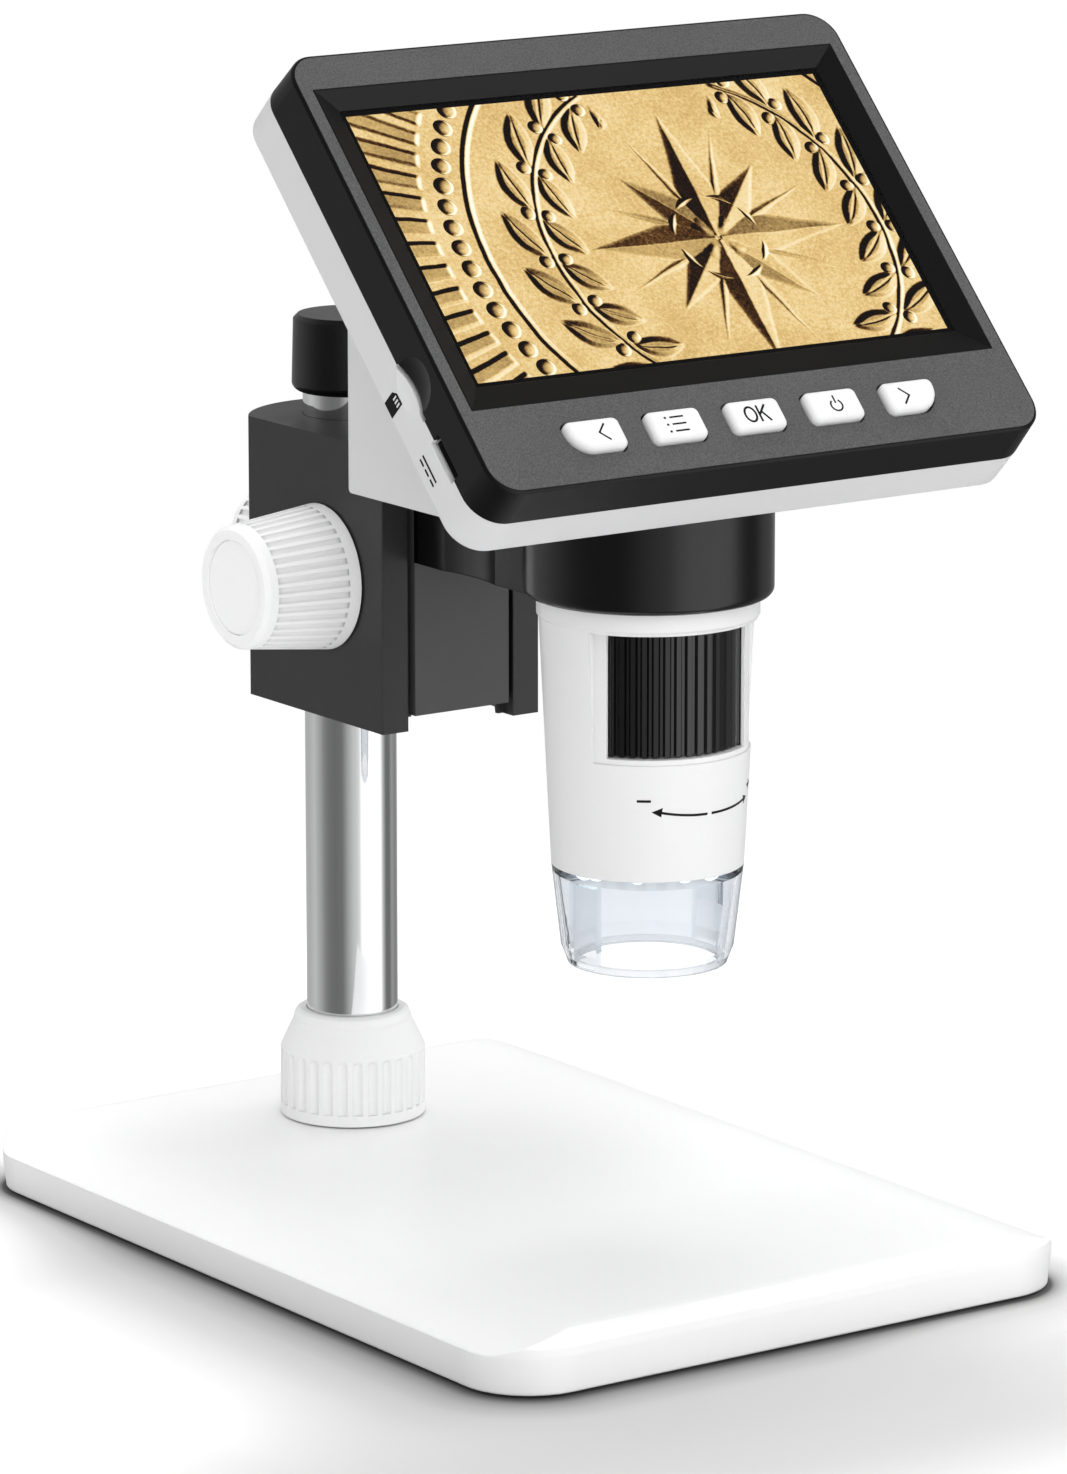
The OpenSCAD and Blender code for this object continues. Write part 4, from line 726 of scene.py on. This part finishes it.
# Fitted to the photograph; the lens takes in a little more, so that the whole base is seen
VIEW_TURN, VIEW_RISE = math.radians(-35.2874), math.radians(12.3204)
VIEW_FROM = (-0.71432, -1.02183, 0.36227)
VIEW_LENS = 186.66 * 0.975
VIEW_SHIFT = (-0.0156, -0.0068)


def add_camera():
    back = Vector((math.sin(VIEW_TURN) * math.cos(VIEW_RISE),
                   -math.cos(VIEW_TURN) * math.cos(VIEW_RISE), math.sin(VIEW_RISE)))
    right = Vector((math.cos(VIEW_TURN), math.sin(VIEW_TURN), 0))
    data = bpy.data.cameras.new("photo_view")
    data.sensor_fit = "VERTICAL"
    data.sensor_height = 36
    data.lens = VIEW_LENS
    data.shift_x, data.shift_y = VIEW_SHIFT
    data.clip_start, data.clip_end = 0.01, 100
    camera = bpy.data.objects.new("photo_view", data)
    bpy.context.scene.collection.objects.link(camera)
    turn = Matrix((right, back.cross(right), back)).transposed().to_4x4()
    camera.matrix_world = Matrix.Translation(VIEW_FROM) @ turn
    bpy.context.scene.camera = camera


# --- Floor, studio cards and sky ---------------------------------------------------------------

ROUND = 96                               # points once round the floor and the drum
FLOOR_RADII = (0.25, 0.6, 1.5, 4.0, 12.0)
FLOOR_HOLE = (0.0562, 0.08, 1.75)        # half width, half depth and corners of its opening
FLOOR_FAR = (0.16, 0.34)                 # where it turns into plain white
FLOOR_COLOUR = 0.95

# The floor's painted shadow near the base, in metres: shares of the reach, and of the full colour
SHADE_REACH = 0.045
FLOOR_SHADE = ((0.0, 0.12), (0.05, 0.32), (0.12, 0.46), (0.22, 0.58), (0.36, 0.65), (0.5, 0.75),
               (0.7, 0.85), (1.0, 1.0))
SHADE_BOX, SHADE_CORNER = (0.0462, 0.07), 0.013

# Where the painted shadow is narrower on the lit sides, and wider in front, in metres: from and to
LIT_X, LIT_Y = (0.0, 0.05), (0.02, 0.08)
FRONT_X, FRONT_Y, FRONT_AWAY = (0.0, 0.08), (0.04, 0.11), (0.045, 0.11)
# How pale the painted shadow in front stays
FRONT_SHADE = 0.6

# Studio cards around the object, as gloss and metal see them: direction in degrees, brightness
CARDS = ((0, 0.32), (3, 0.31), (22, 0.22), (55, 0.47), (101, 0.44), (129, 0.53), (141, 0.44),
         (153, 0.35), (161, 0.26), (170, 0.2), (179, 0.17), (195, 0.15), (212, 0.17), (219, 0.25),
         (226, 0.36), (233, 0.45), (240, 0.55), (249, 0.62), (256, 0.75), (261, 1.1), (275, 1.4),
         (305, 1.4), (315, 1.2), (324, 0.5), (334, 0.17), (347, 0.15), (360, 0.32))
CARD_RADIUS, CARD_LOW, CARD_HIGH = 3.0, -4.0, 3.6

# Soft light from the horizon, by direction in degrees, and from above
SKY_LOW = ((0, 0.2), (90, 1.0), (180, 0.88), (270, 0.9), (360, 0.2))
SKY_HIGH = 0.87
SKY_GLOSS = 0.18


def ray_is(tree, *kinds):
    """1 for rays of these kinds."""
    path = tree.nodes.new("ShaderNodeLightPath")
    return highest(*(Num(tree, path.outputs["Is %s Ray" % kind]) for kind in kinds))


def by_direction(tree, x, y, stops):
    """Half the brightness, by the direction of a point: stops are (degrees, brightness)."""
    turn = (y.over(x) / (2 * math.pi)).wrap_up()
    return ramp(tree, turn, greys([(a, b / 2) for a, b in stops], 360))


def emission(tree, strength=1.0):
    glow = tree.nodes.new("ShaderNodeEmission")
    glow.inputs["Strength"].default_value = strength
    return glow


def hoop(bm, reach, z):
    """Points once round, each as far out as reach gives for its angle."""
    turns = [2 * math.pi * i / ROUND for i in range(ROUND)]
    return [bm.verts.new((reach(a) * math.cos(a), reach(a) * math.sin(a), z)) for a in turns]


def under_base(angle):
    """How far the floor's opening reaches at this angle: a little less than the base does."""
    x, y = abs(math.cos(angle)) / FLOOR_HOLE[0], abs(math.sin(angle)) / FLOOR_HOLE[1]
    return 1 / max(x, y, (x + y) / FLOOR_HOLE[2])


def floor_mesh(bm):
    hoops = [hoop(bm, under_base, 0)] + [hoop(bm, lambda _, r=r: r, 0) for r in FLOOR_RADII]
    for i in range(ROUND):
        j = (i + 1) % ROUND
        for a, b in zip(hoops, hoops[1:]):
            bm.faces.new((a[i], b[i], b[j], a[j]))


def floor_colour(tree, x, y):
    """Painted shadow: darker close to the base, on its shaded sides and in front. Darker also for
    bounced light.
    """
    out_x, out_y = (abs(x) - SHADE_BOX[0]).top(0.0), (abs(y) - SHADE_BOX[1]).top(0.0)
    away = (out_x * out_x + out_y * out_y).root() - SHADE_CORNER
    near = 1 - away.step(*FRONT_AWAY)
    lit_side = x.step(*LIT_X).top(y.step(*LIT_Y))
    away = away * (lit_side * 2 + 1)
    # The painted shadow, by distance from the base
    shade = Num(tree, ramp(tree, away / SHADE_REACH, greys(FLOOR_SHADE)))
    before = (y * -1).step(*FRONT_Y) * (1 - x.step(*FRONT_X) * 0.5) * near
    # A wider, even painted shadow in front
    shade = shade - (shade - FRONT_SHADE).top(0.0) * before
    pale = shade * FLOOR_COLOUR * (1 - ray_is(tree, "Diffuse") * 0.2)
    return ramp(tree, pale, greys([(0, 0), (1, 1)]))


def add_floor():
    """A pale floor that keeps the object's shadow, with a painted shadow round the base, and turns
    into plain white further out. It is open under the base and clear from below, so that the
    object's underside can be seen."""
    floor = add_mesh("floor", floor_mesh)
    mat, tree, bsdf = blank("floor_white")
    preset(bsdf, {"Roughness": 0.6, "Specular IOR Level": 0.0})
    x, y, _ = axes(tree, object_point(tree))
    tree.links.new(floor_colour(tree, x, y), bsdf.inputs["Base Color"])
    far = (x * x + y * y).root().step(*FLOOR_FAR) * ray_is(tree, "Camera", "Transmission")
    above = mix_shaders(tree, far.socket, bsdf.outputs[0], emission(tree).outputs[0])
    side = tree.nodes.new("ShaderNodeNewGeometry")
    below = tree.nodes.new("ShaderNodeBsdfTransparent")
    show(tree, mix_shaders(tree, side.outputs["Backfacing"], above, below.outputs[0]))
    floor.data.materials.append(mat)
    floor.visible_glossy = False


def drum_mesh(bm):
    low, high = (hoop(bm, lambda _: CARD_RADIUS, z) for z in (CARD_LOW, CARD_HIGH))
    for i in range(ROUND):
        j = (i + 1) % ROUND
        bm.faces.new((low[i], low[j], high[j], high[i]))


def add_cards():
    """A far drum of soft white and dark cards that only gloss and metal see."""
    drum = add_mesh("studio_cards", drum_mesh, smooth=True)
    mat, tree, bsdf = blank("studio_cards")
    tree.nodes.remove(bsdf)
    x, y, _ = axes(tree, object_point(tree))
    glow = emission(tree, 2.0)
    tree.links.new(by_direction(tree, x, y, CARDS), glow.inputs["Color"])
    show(tree, glow.outputs[0])
    drum.data.materials.append(mat)
    for ray in ("camera", "diffuse", "transmission", "volume_scatter", "shadow"):
        setattr(drum, "visible_" + ray, False)


def add_world():
    """White as seen directly and through glass, dim for gloss, and soft light for the rest."""
    world = bpy.data.worlds.new("studio")
    world.use_nodes = True
    tree = world.node_tree
    back = tree.nodes["Background"]
    x, y, z = axes(tree, tree.nodes.new("ShaderNodeTexCoord").outputs["Generated"])
    high = z.step(0.2, 0.6)
    low = Num(tree, by_direction(tree, x, y, SKY_LOW)) * 2
    soft = low * (1 - high) + high * SKY_HIGH
    direct = ray_is(tree, "Camera", "Transmission")
    gloss = ray_is(tree, "Glossy")
    strength = direct.top(gloss * SKY_GLOSS).top(soft * (1 - direct.top(gloss)))
    strength.to(back.inputs["Strength"])
    back.inputs["Color"].default_value = (1, 1, 1, 1)
    bpy.context.scene.world = world


# --- Lamps -----------------------------------------------------------------------------------

LAMPS_AIM = (0, -0.01, 0.1)

# Name, place, width and height in metres, and watts
LAMPS = (
    ("key", (-0.32, -1.05, 1.2), (0.6, 0.6), 4.2),
    ("low", (-0.35, -1.4, 0.14), (0.8, 0.25), 4.0),
    ("top", (0.0, 0.0, 1.6), (0.8, 0.8), 2.4),
    ("behind", (0.35, 0.35, 1.4), (0.8, 0.8), 7.0),
    ("front_right", (0.8, -1.0, 0.6), (0.6, 0.6), 1.3),
    ("right", (1.3, 0.0, 0.5), (0.6, 0.6), 4.0),
)


def add_lamp(name, place, size, power):
    """A soft lamp that lights the object and isn't seen itself, nor in gloss."""
    data = bpy.data.lights.new(name, "AREA")
    data.shape = "RECTANGLE"
    data.size, data.size_y = size
    data.energy = power
    lamp = bpy.data.objects.new(name, data)
    bpy.context.scene.collection.objects.link(lamp)
    lamp.location = place
    aim = Vector(LAMPS_AIM) - Vector(place)
    lamp.rotation_euler = aim.to_track_quat("-Z", "Y").to_euler()
    lamp.visible_glossy = False
    lamp.visible_camera = False
    lamp.visible_transmission = False


# --- Everything ------------------------------------------------------------------------------

add_camera()
add_world()
for lamp in LAMPS:
    add_lamp(*lamp)
add_floor()
add_cards()
finishes = finish_nodes()
add_display()
add_key_marks(finishes["mark_black"])
add_barrel_marks(finishes["mark_black"])
add_side_marks(finishes["mark_black"], finishes["key_white"])
bpy.context.scene.view_settings.view_transform = "Standard"

bpy.context.view_layer.update()
